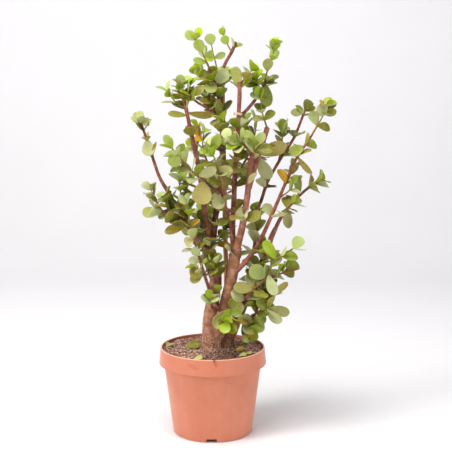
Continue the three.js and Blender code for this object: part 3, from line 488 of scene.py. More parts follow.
# Name, girths at foot and tip, usual leaf length, turn of the first pair in degrees, places of
# the pairs from 0 at the foot to 1 at the tip, and the route.
STEMS = [
    ("trunk_left", (37, 17), 0, 0, (),
     ((-3, -8, 140), (-3, -8, 200), (0, -6, 245), (6, -3, 290), (7, 0, 310), (-3, 3, 345))),
    ("trunk_centre", (28, 20), 22, 20, (0.8,),
     ((-1, -7, 165), (9, -11, 198), (22, -16, 236), (34, -18, 291), (41, -18, 336),
      (44, -19, 354))),
    ("trunk_right", (27, 9), 24, 60, (0.53, 0.6, 0.69),
     ((19, 8, 140), (26, 10, 163), (39, 14, 193), (53, 18, 225), (68, 16, 260), (97, 5, 332),
      (108, 0, 366), (117, -2, 387))),
    ("branch_right_long", (8, 4.5), 26, 40, (0.5, 0.78, 0.9, 1),
     ((117, -2, 387), (126, -3, 405), (147, -4, 433), (174, -6, 459), (197, -8, 475))),
    ("fork_front", (14.6, 8), 24, 30, (0.28, 0.48, 0.95),
     ((44, -19, 350), (54, -27, 389), (63, -36, 446), (68, -40, 502), (71, -42, 522),
      (62, -46, 539))),
    ("leader_centre", (12, 7), 25, 70, (0.3, 0.42, 0.52, 0.6, 0.68, 0.9),
     ((41, -14, 339), (37, -8, 379), (39, -4, 427), (42, -14, 502), (46, -26, 565), (49, -32, 628),
      (48, -33, 652))),
    ("leader_left", (14.8, 6.2), 25, 10, (0.12, 0.24, 0.36, 0.5, 0.58, 0.66, 0.75, 0.84, 0.92, 1),
     ((-3, 3, 345), (1, 6, 365), (8, 14, 426), (16, 20, 490), (18, 18, 563), (12, 10, 622),
      (4, 6, 655))),
    ("branch_left_up", (12.2, 6.6), 23, 80, (0.15, 0.3, 0.62, 0.86, 0.97),
     ((-3, 3, 345), (-11, -4, 392), (-20, -10, 470), (-31, -13, 529), (-39, -10, 565),
      (-46, -6, 599), (-52, -3, 624))),
    ("branch_left_low", (11, 4.8), 24, 75, (0.3, 0.48, 0.62, 0.76, 0.9, 1),
     ((-3, 3, 345), (-30, -14, 368), (-51, -24, 400), (-76, -26, 416), (-100, -24, 420))),
    ("branch_left_out", (8.4, 4.5), 21, 0, (0.12, 0.22, 0.6, 0.76, 0.88, 0.98),
     ((-53, -24, 401), (-75, -8, 443), (-96, 2, 478), (-110, 5, 518), (-121, 2, 553),
      (-130, -2, 581))),
    ("branch_front_left", (7.6, 2.8), 24, 35, (0.12, 0.28, 0.64, 0.74, 0.84, 0.93, 1),
     ((37, -8, 384), (25, -28, 425), (9, -42, 456), (-18, -52, 479), (-44, -60, 505),
      (-70, -65, 536))),
    ("shoot_left_hang", (7.2, 2.4), 20, 10, (0.26, 0.38, 0.5, 0.62, 0.75, 0.88, 1),
     ((1, -8, 246), (-11, -32, 294), (-22, -39, 332), (-33, -42, 371), (-40, -44, 404),
      (-45, -46, 437))),
    ("branch_right_main", (10.2, 4.7), 24, 45, (0.25, 0.5, 0.7, 0.86, 0.95),
     ((40, -18, 304), (63, -28, 330), (85, -33, 364), (107, -33, 412), (128, -27, 461),
      (151, -21, 513), (176, -19, 551))),
    ("shoot_right_tip", (3.8, 1.8), 20, 15, (0.25, 0.6, 0.86, 1),
     ((175, -19, 549), (193, -20, 581), (202, -21, 597), (205, -22, 608))),
    ("shoot_right_fork", (3.6, 2.2), 20, 20, (0.55, 1),
     ((121, -29, 444), (134, -28, 453), (143, -28, 462), (145, -28, 470))),
    ("branch_right_back", (6.8, 4.8), 22, 60, (0.3, 0.52, 0.68, 0.84, 0.98),
     ((58, -31, 411), (84, 5, 423), (102, 28, 467), (127, 40, 510), (151, 46, 547), (168, 48, 589),
      (172, 48, 599))),
    ("branch_mid_right", (10.4, 9.4), 24, 50, (0.3, 0.62),
     ((66, -36, 462), (82, -16, 516), (90, -12, 538), (100, -9, 571))),
    ("shoot_mid_right", (3.4, 1.8), 20, 10, (0.28, 0.52, 0.78, 1),
     ((99, -9, 568), (94, -15, 583), (90, -18, 596), (86, -23, 620), (83, -24, 627))),
    ("shoot_mid_front", (4, 2.2), 25, 5, (0.5, 1),
     ((70, -42, 516), (75, -49, 530), (74, -51, 541))),
    ("shoot_mid_left", (3.2, 2), 25, 25, (0.95,),
     ((63, -46, 536), (56, -51, 541), (50, -54, 546))),
    ("branch_up_right", (6.4, 5.4), 20, 60, (0.5, 0.72, 0.86, 0.98),
     ((47, -28, 586), (71, -18, 611), (91, -11, 640), (98, -9, 654))),
    ("shoot_up_right", (3.6, 1.8), 19, 0, (0.34, 0.6, 0.82, 1),
     ((92, -11, 643), (99, -13, 671), (108, -15, 695), (111, -16, 716))),
    ("shoot_up_fan", (3.2, 2), 21, 0, (0.45, 0.75, 1),
     ((87, -12, 634), (82, -12, 647), (77, -12, 656))),
    ("branch_up_left", (5.8, 3.6), 20, 50, (0.12, 0.72, 0.88, 1),
     ((18, 16, 578), (-4, -4, 600), (-30, -14, 617), (-44, -17, 634))),
    ("shoot_left_crown", (4, 2.2), 19, 10, (0.25, 0.5, 0.78, 1),
     ((-51, -3, 620), (-53, -6, 632), (-54, -8, 643), (-52, -9, 650))),
    ("shoot_left_crown_b", (3.2, 2), 18, 30, (0.5, 1),
     ((-43, -17, 631), (-40, -16, 639), (-38, -15, 647))),
    ("stub_top", (6.6, 5.8), 15, 15, (0.8,),
     ((10, 8, 639), (21, 2, 677), (36, -2, 705), (43, -4, 722))),
    ("shoot_top_left", (4.4, 1.8), 20, 0, (0.28, 0.44, 0.62, 0.8, 1),
     ((4, 6, 653), (-10, 0, 686), (-20, -2, 708), (-29, -4, 728))),
    ("shoot_top_mid", (3.6, 1.8), 18, 5, (0.5, 0.68, 0.84, 1),
     ((8, 8, 643), (10, 6, 664), (6, 3, 686), (2, 2, 701), (-3, 0, 726))),
    ("shoot_top_right", (3, 1.8), 16, 20, (0.5, 0.78, 1),
     ((35, -2, 703), (28, -6, 716), (23, -8, 728), (20, -9, 735))),
    ("branch_right_low", (5.8, 2.8), 26, 30, (0.36, 0.5, 0.64, 0.78, 0.9, 1),
     ((51, 18, 219), (52, 0, 236), (58, -22, 255), (76, -34, 278), (99, -41, 303), (113, -47, 332),
      (147, -53, 357))),
    ("shoot_right_inner", (3, 1.8), 20, 40, (0.55, 1),
     ((104, -44, 319), (108, -40, 336), (102, -38, 350))),
    ("twig_right_bare", (3.4, 2.6), 0, 0, (),
     ((96, -40, 298), (114, -42, 305), (135, -44, 311), (159, -46, 318))),
    ("branch_right_bottom", (5.8, 3), 24, 60, (0.3, 0.48, 0.66, 0.84, 1),
     ((48, 16, 205), (64, 0, 210), (82, -14, 232), (89, -16, 266), (102, -16, 293))),
    ("twig_right_bottom", (3.4, 2.2), 25, 20, (0.35, 0.7, 1),
     ((82, -14, 231), (96, -17, 235), (106, -18, 243), (102, -18, 263))),
    ("stub_low", (6.6, 6.2), 0, 0, (),
     ((20, -14, 228), (12, -26, 238), (3, -34, 250))),
    ("shoot_low_front", (6, 3.6), 25, 30, (0.6, 1),
     ((27, -17, 248), (30, -32, 242), (34, -44, 239))),
    ("shoot_low_left", (4.6, 2.8), 20, 20, (0.7, 1),
     ((1, -8, 230), (-2, -26, 246), (0, -33, 259))),
    ("shoot_left_front", (5, 2.8), 20, 10, (0.45, 0.65, 0.83, 1),
     ((6, -4, 277), (4, -20, 293), (5, -27, 311), (8, -31, 327))),
    ("shoot_centre_left", (4.2, 2), 22, 35, (0.3, 0.5, 0.68, 0.85, 1),
     ((18, -36, 444), (18, -46, 471), (8, -56, 507), (-2, -59, 536))),
    ("shoot_left_knot", (4.8, 2.6), 20, 20, (0.3, 0.48, 0.66, 0.84, 1),
     ((-47, -23, 395), (-50, -24, 418), (-55, -24, 441), (-60, -22, 475))),
    ("shoot_right_crown", (4, 2.2), 23, 40, (0.35, 0.6, 0.82, 1),
     ((123, 39, 505), (127, 36, 529), (131, 31, 564))),
    ("branch_back_centre", (8, 3), 24, 20, (0.36, 0.5, 0.63, 0.76, 0.88, 1),
     ((1, 6, 362), (4, 34, 386), (14, 58, 420), (28, 76, 456), (41, 88, 493), (50, 95, 525))),
    ("branch_back_right", (8, 3), 25, 70, (0.36, 0.52, 0.66, 0.8, 0.9, 1),
     ((67, 16, 259), (70, 45, 287), (75, 70, 322), (83, 88, 358), (87, 98, 390))),
    ("branch_back_left", (7, 3), 24, 40, (0.36, 0.5, 0.63, 0.76, 0.88, 1),
     ((3, 0, 278), (-9, 30, 300), (-17, 55, 324), (-21, 72, 354), (-17, 82, 388), (-13, 88, 415))),
    ("branch_back_upper", (6, 2.6), 23, 65, (0.36, 0.52, 0.68, 0.84, 1),
     ((12, 18, 457), (-1, 40, 484), (-13, 60, 509), (-19, 72, 532), (-17, 80, 557))),
    ("branch_back_high", (6, 2.6), 23, 10, (0.36, 0.52, 0.68, 0.84, 1),
     ((41, -6, 474), (56, 25, 498), (70, 50, 524), (79, 68, 552), (81, 80, 576))),
    ("shoot_low_right", (3.8, 2.4), 25, 20, (0.4, 0.6, 0.8, 1),
     ((44, 15, 202), (56, 0, 206), (67, -10, 203), (80, -16, 209))),
]

# Stem, then place along it, way from foot to tip, width and how far the face turns from the front.
LARGE_LEAVES = {
    "branch_front_left": [(0.6, (-1, -5, -40), 36, 10), (0.4, (2, -4, -26), 24, 15),
        (1, (-14, -5, 24), 15, 15), (0.98, (1, -6, -26), 25, 10), (0.97, (16, -5, 13), 15, 30),
        (0.66, (30, -9, 16), 20, 20)],
    "shoot_centre_left": [(0.62, (26, -6, -2), 20, 30), (0.95, (11, -4, 30), 19, 15),
        (0.98, (-21, -6, -2), 12, 15)],
    "shoot_low_front": [(0.35, (26, -8, -3), 27, 10), (0.85, (-27, -7, -30), 26, 5)],
    "branch_right_low": [(0.5, (-34, -7, 8), 23, 10), (0.66, (-26, -9, 19), 30, 5),
        (0.7, (12, -7, -36), 21, 10), (0.86, (-23, -6, 33), 20, 20)],
    "branch_mid_right": [(0.42, (45, -8, 17), 28, 5), (0.36, (19, -6, -35), 25, 15)],
    "leader_left": [(0.97, (20, -16, 24), 27, 5), (0.99, (-13, -18, -18), 25, 5),
        (1, (-35, -3, 14), 22, 30), (0.72, (-9, -17, 37), 17, 10), (0.83, (-34, -18, -4), 17, 30)],
    "leader_centre": [(0.92, (-9, 12, 32), 20, 10)],
    "fork_front": [(0.58, (-42, -8, -5), 22, 72), (0.76, (-14, 4, -32), 18, 20),
        (0.36, (-10, -4, -22), 24, 15)],
    "branch_up_right": [(0.9, (5, 5, -38), 22, 10)],
    "branch_left_low": [(0.46, (-36, -8, -11), 19, 25), (1, (-27, 4, -4), 20, 20),
        (0.55, (5, 4, -28), 14, 20)],
    "branch_left_out": [(0.78, (6, -8, -27), 24, 5), (1, (-15, -6, 8), 12, 20),
        (0.98, (17, -7, 6), 16, 5), (0.18, (2, -10, -24), 22, 20)],
    "branch_left_up": [(0.8, (-32, -4, 2), 13, 30), (0.83, (44, -8, -8), 17, 35)],
    "twig_right_bottom": [(0.62, (37, -5, -6), 22, 20), (0.5, (24, -5, -26), 20, 20),
        (0.95, (30, 4, 32), 19, 45)],
    "branch_right_long": [(0.62, (-5, -5, 37), 15, 15), (0.42, (0, -6, -33), 19, 15)],
    "branch_right_main": [(0.94, (-24, -6, -12), 22, 20), (0.86, (22, -6, -30), 13, 25)],
    "shoot_right_crown": [(0.92, (-3, -6, 27), 19, 15)],
    "shoot_left_hang": [(0.62, (-14, 2, -10), 20, 15), (0.3, (-21, -6, -17), 18, 5),
        (0.4, (-20, -6, 4), 15, 10), (0.44, (-10, -9, 19), 16, 5)],
    "shoot_top_left": [(0.98, (-19, -5, 13), 18, 5), (0.62, (-9, -9, 20), 20, 5),
        (0.34, (-24, -6, 4), 14, 10), (0.38, (9, -6, 18), 13, 15)],
    "shoot_top_mid": [(0.92, (-4, -6, 19), 20, 5), (0.7, (-14, -9, -6), 15, 10),
        (0.66, (18, -7, 7), 13, 10)],
    "shoot_top_right": [(0.4, (-8, -7, 14), 16, 5), (0.96, (-5, -5, 12), 13, 5)],
    "shoot_up_right": [(0.88, (2, -7, 19), 20, 5), (0.34, (1, -8, 22), 19, 5)],
    "shoot_mid_left": [(1, (-24, -5, 8), 18, 10), (0.98, (4, -6, 25), 10, 30)],
    "shoot_mid_front": [(1, (-14, -6, 26), 18, 10), (0.98, (17, -7, 23), 18, 10)],
    "branch_up_left": [(0.9, (22, -8, 14), 17, 15)],
    "shoot_left_crown": [(0.7, (-4, -8, 20), 18, 5), (0.15, (-22, -6, 1), 11, 20)],
    "shoot_right_tip": [(0.98, (10, -6, 13), 14, 10), (0.5, (-3, -9, 24), 22, 5),
        (0.62, (20, -7, 7), 16, 10)],
    "branch_right_back": [(0.98, (-24, -6, -2), 16, 10), (1, (17, -6, 8), 11, 15)],
}

# Place, turn in degrees, length and width of each fallen leaf, and its age, wax bloom with painted
# sheen, and blush.
FALLEN_LEAVES = [
    ((-52, -4), 10, 30, 20, (0.8, 0.0, 0.1)),
    ((-85, 2), 70, 17, 13, (0.6, 0.2, 0.2)),
    ((-33, -76), -8, 17, 11, (0.5, 0.5, 0.2)),
    ((48, -58), 20, 15, 10, (0.6, 0.3, 0.1)),
    ((60, -42), -25, 14, 9, (0.6, 0.2, 0.2)),
    ((42, -24), 15, 17, 11, (0.8, 0.0, 0.3)),
]

# How likely a pair bears side shoots too, where it isn't the usual share, which only stems with
# a stout tip have. These shoots are too fine for the CAD solids.
USUAL_TWIGS = 0.18
STOUT_TIP = 2.6
TWIGS = {
    "trunk_right": 0.2, "branch_right_long": 0.05, "branch_right_main": 0.1, "branch_left_out": 0,
    "leader_left": 0.5, "leader_centre": 0.4, "fork_front": 0.15, "branch_left_up": 0.1,
    "branch_front_left": 0.2, "branch_left_low": 0.4, "branch_right_low": 0.4,
    "branch_right_bottom": 0.6, "branch_back_centre": 0.5, "branch_back_right": 0.4,
    "branch_back_left": 0.5, "branch_back_upper": 0.4, "branch_back_high": 0.4,
    "shoot_left_hang": 0.2, "shoot_low_left": 0.5, "shoot_low_front": 0.3, "shoot_low_right": 0.3,
    "twig_right_bottom": 0.4,
}
LAST_TWIG = 0.97  # no side shoots nearer to a stem's tip than this
TWIG_GIRTH = (3.2, 1.6)
TWIG_PAIRS = (0.45, 0.75, 1)
TWIG_LEAF = 0.9  # leaf length over that of the stem
TWIG_LENGTH, TWIG_CHANCE = 20, 22  # the shortest, and what chance can add
TWIG_TURN = 60

# Open shoots whose small leaves have dropped up to this share of the way to the tip.
OPEN_SHOOTS = {
    "shoot_top_left": 0.9, "shoot_top_mid": 1.0, "shoot_top_right": 0.9, "shoot_up_right": 0.5,
    "branch_up_right": 0.6, "branch_up_left": 0.4, "branch_left_out": 0.7, "shoot_right_tip": 0.5,
}
LEAST_SOLID = 26  # leaves this long or longer are in the CAD solids too


class Stem:
    def __init__(self, name, girths, leaf, turn, pairs, route, is_twig=False):
        self.name = name
        self.foot_girth, self.tip_girth = girths
        self.leaf = leaf
        self.turn = turn
        self.pairs = pairs
        points = [np.array(place, float) for place in route]
        self.points = [2 * points[0] - points[1], *points, 2 * points[-1] - points[-2]]
        self.leaves = []
        self.twigs = []
        self.is_twig = is_twig

    def point(self, at):
        """The place a share of the way along a smooth curve through the route."""
        spans = len(self.points) - 3
        span = min(int(math.floor(spans * at)), spans - 1)
        t = spans * at - span
        before, start, end, after = self.points[span:span + 4]
        leave = (end - before) / 2
        arrive = (after - start) / 2
        return (start + leave * t + (3 * (end - start) - 2 * leave - arrive) * t ** 2
                + (2 * (start - end) + leave + arrive) * t ** 3)

    def rise(self, at):
        step = 1e-4
        return unit(self.point(min(1, at + step)) - self.point(max(0, at - step)))

    def radius(self, at):
        return (self.tip_girth + (self.foot_girth - self.tip_girth) * (1 - at) ** 1.5) / 2

    def length(self):
        steps = 200
        places = [self.point(k / steps) for k in range(steps + 1)]
        return sum(np.linalg.norm(b - a) for a, b in zip(places, places[1:]))

    def leaf_foot(self, at):
        return self.point(at) - self.rise(at) * SETBACK

    def ways(self, at, angle):
        """The stem's own way, and the way out from it at an angle in degrees round it."""
        rise = self.rise(at)
        sideways = unit(np.cross(rise, FRONT))
        deep = np.cross(rise, sideways)
        return rise, between(sideways, deep, math.radians(angle))

    def axils(self):
        """Places and angles of the leaves: opposite pairs, each square to the one below."""
        for order, at in enumerate(self.pairs):
            for side in (0, 180):
                yield at, self.turn + order * 90 + side


class Leaf:
    def __init__(self, foot, along, out, length, width):
        self.foot = foot
        self.along = along
        self.across = unit(np.cross(out, along))
        self.out = out
        self.length = length
        self.width = width
        self.is_large = False

    def marks(self):
        """Places on the blade that are checked for room: along its middle and at its sides."""
        return [
            self.foot + self.along * (self.length * reach) + self.across * (self.width * side)
            for reach, side in ((0.45, 0), (0.75, 0), (0.98, 0), (0.72, 0.4), (0.72, -0.4))
        ]


class Plant:
    def __init__(self, box, dice):
        self.box = box
        self.dice = dice
        self.stems = [Stem(*row) for row in STEMS]
        self.by_name = {stem.name: stem for stem in self.stems}
        self.leaf_marks = np.empty((0, 3))
        places, reaches, owners = [], [], []
        for order, stem in enumerate(self.stems):
            steps = math.ceil(stem.length() / MARK_STEP)
            for k in range(steps + 1):
                places.append(stem.point(k / steps))
                reaches.append(stem.radius(k / steps) + STEM_CLEAR)
                owners.append(order)
        self.stem_marks = np.array(places)
        self.stem_reach = np.array(reaches)
        self.stem_owner = np.array(owners)

    def inside(self, marks):
        """True if all marks are within a few millimetres of the CAD model's box."""
        low, high = (np.array(corner) / MM for corner in self.box)
        return bool((marks > low - BOX_SLACK).all() and (marks < high + BOX_SLACK).all())

    def fits(self, leaf, stem):
        """True if the leaf is clear of the other leaves and of every stem but its own."""
        marks = np.array(leaf.marks())
        if stem.is_twig and not self.inside(marks):
            return False
        if len(self.leaf_marks):
            gaps = np.linalg.norm(self.leaf_marks[:, None] - marks[None], axis=2)
            if gaps.min() < CLEAR:
                return False
        others = self.stem_owner != self.stems.index(stem)  # a twig has no marks of its own
        gaps = np.linalg.norm(self.stem_marks[others][:, None] - marks[None], axis=2).min(axis=1)
        return bool((gaps >= self.stem_reach[others]).all())

    def add(self, stem, leaf, at):
        leaf.at = at
        stem.leaves.append(leaf)
        self.leaf_marks = np.vstack([self.leaf_marks, leaf.marks()])

    def grow_large_leaf(self, name, at, way, width, facing):
        stem = self.by_name[name]
        way = np.array(way, float)
        along = unit(way)
        out = turned(square_to(FRONT, along), along, math.radians(facing))
        length = np.linalg.norm(way) + stem.radius(at)
        leaf = Leaf(stem.leaf_foot(at), along, out, length, width)
        leaf.is_large = True
        self.add(stem, leaf, at)

    def grow_pair_leaf(self, stem, at, turn):
        """A leaf that is clear of the others, or none if no try finds room."""
        dice = self.dice
        age = 1 - at
        for attempt in range(TRIES):
            rise, away = stem.ways(at, turn + dice.swing() * TURN_RANGE * (attempt + 1))
            lift = YOUNG_LIFT + (OLD_LIFT - YOUNG_LIFT) * age + dice.swing() * LIFT_RANGE
            lift = math.radians(lift)
            roll = math.radians(dice.swing() * ROLL_RANGE)
            length = stem.leaf * (SHORTEST + OLDER_GAIN * age + CHANCE_GAIN * dice.roll())
            slim = NARROWEST + (WIDEST - NARROWEST) * dice.roll()
            along = between(away, rise, lift)
            out = turned(rise * math.cos(lift) - away * math.sin(lift), along, roll)
            out = unit(out + (LIGHT - along * float(LIGHT @ along)) * FACING)
            leaf = Leaf(stem.leaf_foot(at), along, out, length + stem.radius(at), length * slim)
            if self.fits(leaf, stem):
                self.add(stem, leaf, at)
                return

    def grow_pairs(self, stem):
        for at, turn in stem.axils():
            self.grow_pair_leaf(stem, at, turn)

    def open_up(self):
        """Drops the small leaves along the open shoots."""
        for name, share in OPEN_SHOOTS.items():
            stem = self.by_name[name]
            stem.leaves = [
                leaf for leaf in stem.leaves
                if leaf.is_large or leaf.length >= LEAST_SOLID or leaf.at > share
            ]

    def grow_twig(self, stem, at, turn):
        """A short side shoot in a pair's axil, curving up; it stays only if it bears leaves."""
        dice = self.dice
        rise, away = stem.ways(at, turn + dice.swing() * TWIG_TURN)
        length = TWIG_LENGTH + TWIG_CHANCE * dice.roll()
        if away @ FRONT > 0.5:
            return  # it would hide the stems behind it
        route = []
        for share in (0, 0.35, 0.7, 1):
            way = away * share ** 0.8 * 0.75 + rise * share * 0.65 + UP * share * share * 0.35
            route.append(stem.point(at) + way * length)
        twig = Stem(f"{stem.name}_twig", TWIG_GIRTH, stem.leaf * TWIG_LEAF, 90 * dice.roll(),
                    TWIG_PAIRS, route, is_twig=True)
        self.stems.append(twig)
        self.grow_pairs(twig)
        if len(twig.leaves) < 2:
            self.stems.pop()
        else:
            stem.twigs.append(twig)

    def grow_twigs(self):
        for stem in list(self.stems):
            usual = USUAL_TWIGS if stem.tip_girth >= STOUT_TIP else 0
            share = TWIGS.get(stem.name, usual)
            for at, turn in stem.axils():
                if self.dice.roll() < share and at < LAST_TWIG:
                    self.grow_twig(stem, at, turn)

    def grow(self):
        for name, leaves in LARGE_LEAVES.items():
            for leaf in leaves:
                self.grow_large_leaf(name, *leaf)
        for stem in self.stems:
            self.grow_pairs(stem)


# ---- Meshes of stems and leaves ---------------------------------------------------------------
class Sheet:
    """Points, faces and painted numbers of one mesh, gathered piece by piece in millimetres."""

    def __init__(self, *marks):
        self.points = []
        self.faces = []
        self.marks = {name: [] for name in marks}

    def point(self, place, **marks):
        self.points.append(tuple(place))
        for name, values in self.marks.items():
            values.append(float(marks.get(name, 0)))
        return len(self.points) - 1

    def ring(self, radius, height, sides):
        """The point numbers of a level circle round the axis."""
        return [self.point((radius * math.cos(a), radius * math.sin(a), height))
                for a in circle(sides)]

    def skin(self, rings, ends=True):
        """Faces between rings of point numbers, and over the first and the last if ends is set."""
        for low, high in zip(rings, rings[1:]):
            for k in range(len(low)):
                after = (k + 1) % len(low)
                self.faces.append((low[k], low[after], high[after], high[k]))
        if ends:
            self.faces.append(tuple(reversed(rings[0])))
            self.faces.append(tuple(rings[-1]))

    def fan(self, ring, tip):
        """Faces from a ring to one point."""
        for k in range(len(ring)):
            self.faces.append((ring[k], ring[(k + 1) % len(ring)], tip))

    def mesh(self, name):
        mesh = bpy.data.meshes.new(name)
        mesh.from_pydata([tuple(c * MM for c in place) for place in self.points], [], self.faces)
        return mesh

    def build(self, name, material, slot, replaced=(), smooth=True):
        mesh = self.mesh(name)
        for key, values in self.marks.items():
            layer = mesh.attributes.new(key, "FLOAT", "POINT")
            layer.data.foreach_set("value", values)
        if smooth:
            mesh.shade_smooth()
        mesh.materials.append(material)
        piece = add_object(name, mesh)
        if replaced:
            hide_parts(*replaced)
        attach(piece, "root")
        return piece


GROWING_TIP = 3.2  # a leafy stem finer than this at its tip is still growing
GREEN_GIRTH, GREEN_RANGE = 3.9, 1.2  # from this girth down its wood turns green
TAN_RADIUS, TAN_RANGE = 3.5, 5  # from this radius up old bark turns tan
DIRT_HEIGHT, DIRT_RANGE = 158, 46  # dirt on the bark fades out upwards from here
THICK_GIRTH = 14  # stems thicker than this at the foot have a finer mesh
NODE_SWELL, NODE_REACH = 0.16, 2.2
TRUNK_FLARE, FLARE_FOOT, FLARE_REACH = 0.16, 150, 45
PLANT_TOP, TOP_RANGE = 745, 190  # leaves are younger this far down from the top


def add_stem(sheet, stem):
    """Bark with a lump at each node, uneven girth, a flare at a trunk's foot and a round end."""
    length = stem.length()
    sides, step, unevenness = (26, 2.2, 0.11) if stem.foot_girth > THICK_GIRTH else (12, 3, 0.12)
    count = max(6, int(length / step))
    rings = []
    growing = stem.tip_girth < GROWING_TIP and stem.leaf > 0
    side = unit(np.cross(FRONT, stem.rise(0)))
    for k in range(count + 1):
        at = k / count
        rise = stem.rise(at)
        side = square_to(side, rise)
        front = np.cross(side, rise)
        centre = stem.point(at)
        radius = stem.radius(at)
        young = clamp((GREEN_GIRTH - 2 * radius) / GREEN_RANGE) if growing else 0
        tan = clamp((radius - TAN_RADIUS) / TAN_RANGE)
        for node in stem.pairs:
            radius *= 1 + NODE_SWELL * math.exp(-((at - node) * length / NODE_REACH) ** 2)
        if stem.name.startswith("trunk"):
            radius *= 1 + TRUNK_FLARE * clamp(1 - (centre[2] - FLARE_FOOT) / FLARE_REACH) ** 2
        close = clamp((1 - at) * length / (radius * 0.6))
        radius *= math.sqrt(max(0.02, 1 - (1 - close) ** 2))
        ridge = 0.005 * math.sin(at * length * 0.9 + 5 * noise.noise(Vector(centre) * 0.05))
        ring = []
        for angle in circle(sides):
            way = between(side, front, angle)
            spot = Vector(centre + way * radius)
            lump = noise.noise(spot * 0.045) * unevenness + noise.noise(spot * 0.3) * 0.04
            place = centre + way * radius * (1 + lump + ridge)
            low = clamp(1 - (place[2] - DIRT_HEIGHT) / DIRT_RANGE)
            ring.append(sheet.point(place, along=at * length, young=young, low=low, tan=tan))
        rings.append(ring)
    sheet.skin(rings, ends=False)
    sheet.faces.append(tuple(reversed(rings[0])))
    cut = 0 if growing else 1
    tip = sheet.point(stem.point(1), along=length, young=1 - cut, cut=cut)
    sheet.fan(rings[-1], tip)
    for number in rings[-1]:
        sheet.marks["cut"][number] = cut


LEAF_MARKS = ("age", "bloom_and_sheen", "blush", "edge", "rib")


def blade_half_width(reach):
    """Half the width of a leaf over its widest, from foot to tip: a narrow foot and a round end."""
    widest = 0.63
    if reach < widest:
        rest = (widest - reach) / widest
        return max(0.09, (1 - rest ** 1.75) ** 0.85)
    rest = (reach - widest) / (1 - widest)
    return math.sqrt(max(0, 1 - rest ** 2.1))


def add_leaf(sheet, leaf, look, bend, cup, twist):
    """A fleshy blade: a rounded rim, a shallow trough along the middle and a slight curl."""
    steps = 11
    sides = 12
    rings = []
    length = leaf.length
    half = leaf.width / 2
    for k in range(steps + 1):
        reach = 0.5 - 0.5 * math.cos(math.pi * k / steps)
        wide = max(0.02, blade_half_width(reach)) * half
        thick = THICKNESS * (0.75 if reach > 0.2 else 0.75 + 0.8 * (0.2 - reach) / 0.2)
        thick *= min(1, (wide / half) * 2.2)
        ring = []
        for angle in circle(sides):
            across = math.cos(angle)
            body = math.sin(angle) * thick / 2 * (0.55 + 0.45 * (1 - across * across))
            rise = cup * wide * across * across + bend * length * reach * reach
            turn = twist * reach
            sideways = across * wide * math.cos(turn) - body * math.sin(turn)
            upright = rise + body * math.cos(turn) + across * wide * math.sin(turn)
            place = (leaf.foot + leaf.along * (length * reach) + leaf.across * sideways
                     + leaf.out * upright)
            edge = max(abs(across), reach ** 6) if reach > 0.15 else 0
            rib = abs(across) + 0.3 * reach
            ring.append(sheet.point(place, edge=edge, rib=rib, **look))
        rings.append(ring)
    sheet.skin(rings)


def depth_down(leaf):
    """1 for a leaf in the lower three quarters of the plant, falling to 0 at its top."""
    return clamp((PLANT_TOP - leaf.foot[2]) / TOP_RANGE)


def leaf_look(stem, leaf, chance):
    """Painted numbers of a leaf: young at a shoot's tip, older, with wax bloom and painted sheen,
    or yellowing further down.
    """
    low = depth_down(leaf)
    if leaf.is_large and leaf.at > 0.75 and stem.tip_girth < 3 and leaf.foot[2] > 300:
        age = 0.05 + 0.4 * chance.roll()
        return {"age": age, "bloom_and_sheen": 0.6 * chance.roll() ** 2, "blush": 0.05}
    if leaf.is_large:
        low = min(1, 1.6 * low)
        narrow = leaf.width < 0.5 * leaf.length
        age = low * (0.45 + 0.5 * chance.roll())
        bloom_and_sheen = low * (0.1 + 0.75 * chance.roll()) * (0.2 if narrow else 1)
        return {"age": age, "bloom_and_sheen": bloom_and_sheen, "blush": low * 0.3 * chance.roll()}
    youth = leaf.at if stem.tip_girth < 4 else leaf.at * 0.5
    youth *= 1.15 - 0.55 * low
    age = clamp(1.0 - youth + chance.swing() * 0.6)
    bloom_and_sheen = 0.35 + 0.5 * chance.roll() if chance.roll() < 0.3 else 0.08 * chance.roll()
    yellowing = chance.roll() < 0.05 * age * low
    blush = 0.6 + 0.4 * chance.roll() if yellowing else 0.1 * chance.roll()
    return {"age": age, "bloom_and_sheen": bloom_and_sheen, "blush": blush}


def build_plant(plant, bark, blade):
    chance = Dice(SEEDS["looks"])
    for stem in plant.by_name.values():
        stems = [stem, *stem.twigs]
        wood = Sheet("along", "young", "low", "cut", "tan")
        for part in stems:
            add_stem(wood, part)
        wood.build(f"{stem.name}_bark", bark, "bark", [stem.name])
        leaves = Sheet(*LEAF_MARKS)
        for part in stems:
            for leaf in part.leaves:
                look = leaf_look(part, leaf, chance)
                bend = (chance.roll() - 0.6) * 0.36
                cup = 0.14 + 0.3 * chance.roll()
                twist = chance.swing() * 0.6
                add_leaf(leaves, leaf, look, bend, cup, twist)
        if leaves.points:
            leaves.build(f"{stem.name}_leaves", blade, "foliage")


# ---- The pot and what is in it ----------------------------------------------------------------
POT_HEIGHT = 162
FOOT_RADIUS = 73.8
WALL_TOP_RADIUS = 91
BAND_FOOT = 131.5
BAND_FOOT_RADIUS = 100
RIM_RADIUS = 97
WALL = 2.6
BASE = 5
NOTCH_OUTLINE = [(-10.5, -1), (10.5, -1), (9, 7.5), (-9, 7.5)]  # across the foot, and height
NOTCH_REACH = 13  # in and out from the foot's edge
NOTCH_TURN = -1  # degrees from the front
SOIL_TOP = 157
SOIL_RADIUS = RIM_RADIUS - WALL + 0.1
SOIL_EDGE, SOIL_DROP = 7, 4.5  # the mix turns down this much, over this much at the wall
CRUMBS, CRUMB_REACH = 7500, 92.5


def pot_radius(height):
    return FOOT_RADIUS + (WALL_TOP_RADIUS - FOOT_RADIUS) * height / BAND_FOOT


def corner(before, point, after, radius, steps=4):
    """Points that round a corner of an outline."""
    before, point, after = (np.array(place, float) for place in (before, point, after))
    start = point + unit(before - point) * radius
    end = point + unit(after - point) * radius
    for k in range(steps + 1):
        t = k / steps
        yield tuple((1 - t) ** 2 * start + 2 * t * (1 - t) * point + t ** 2 * end)


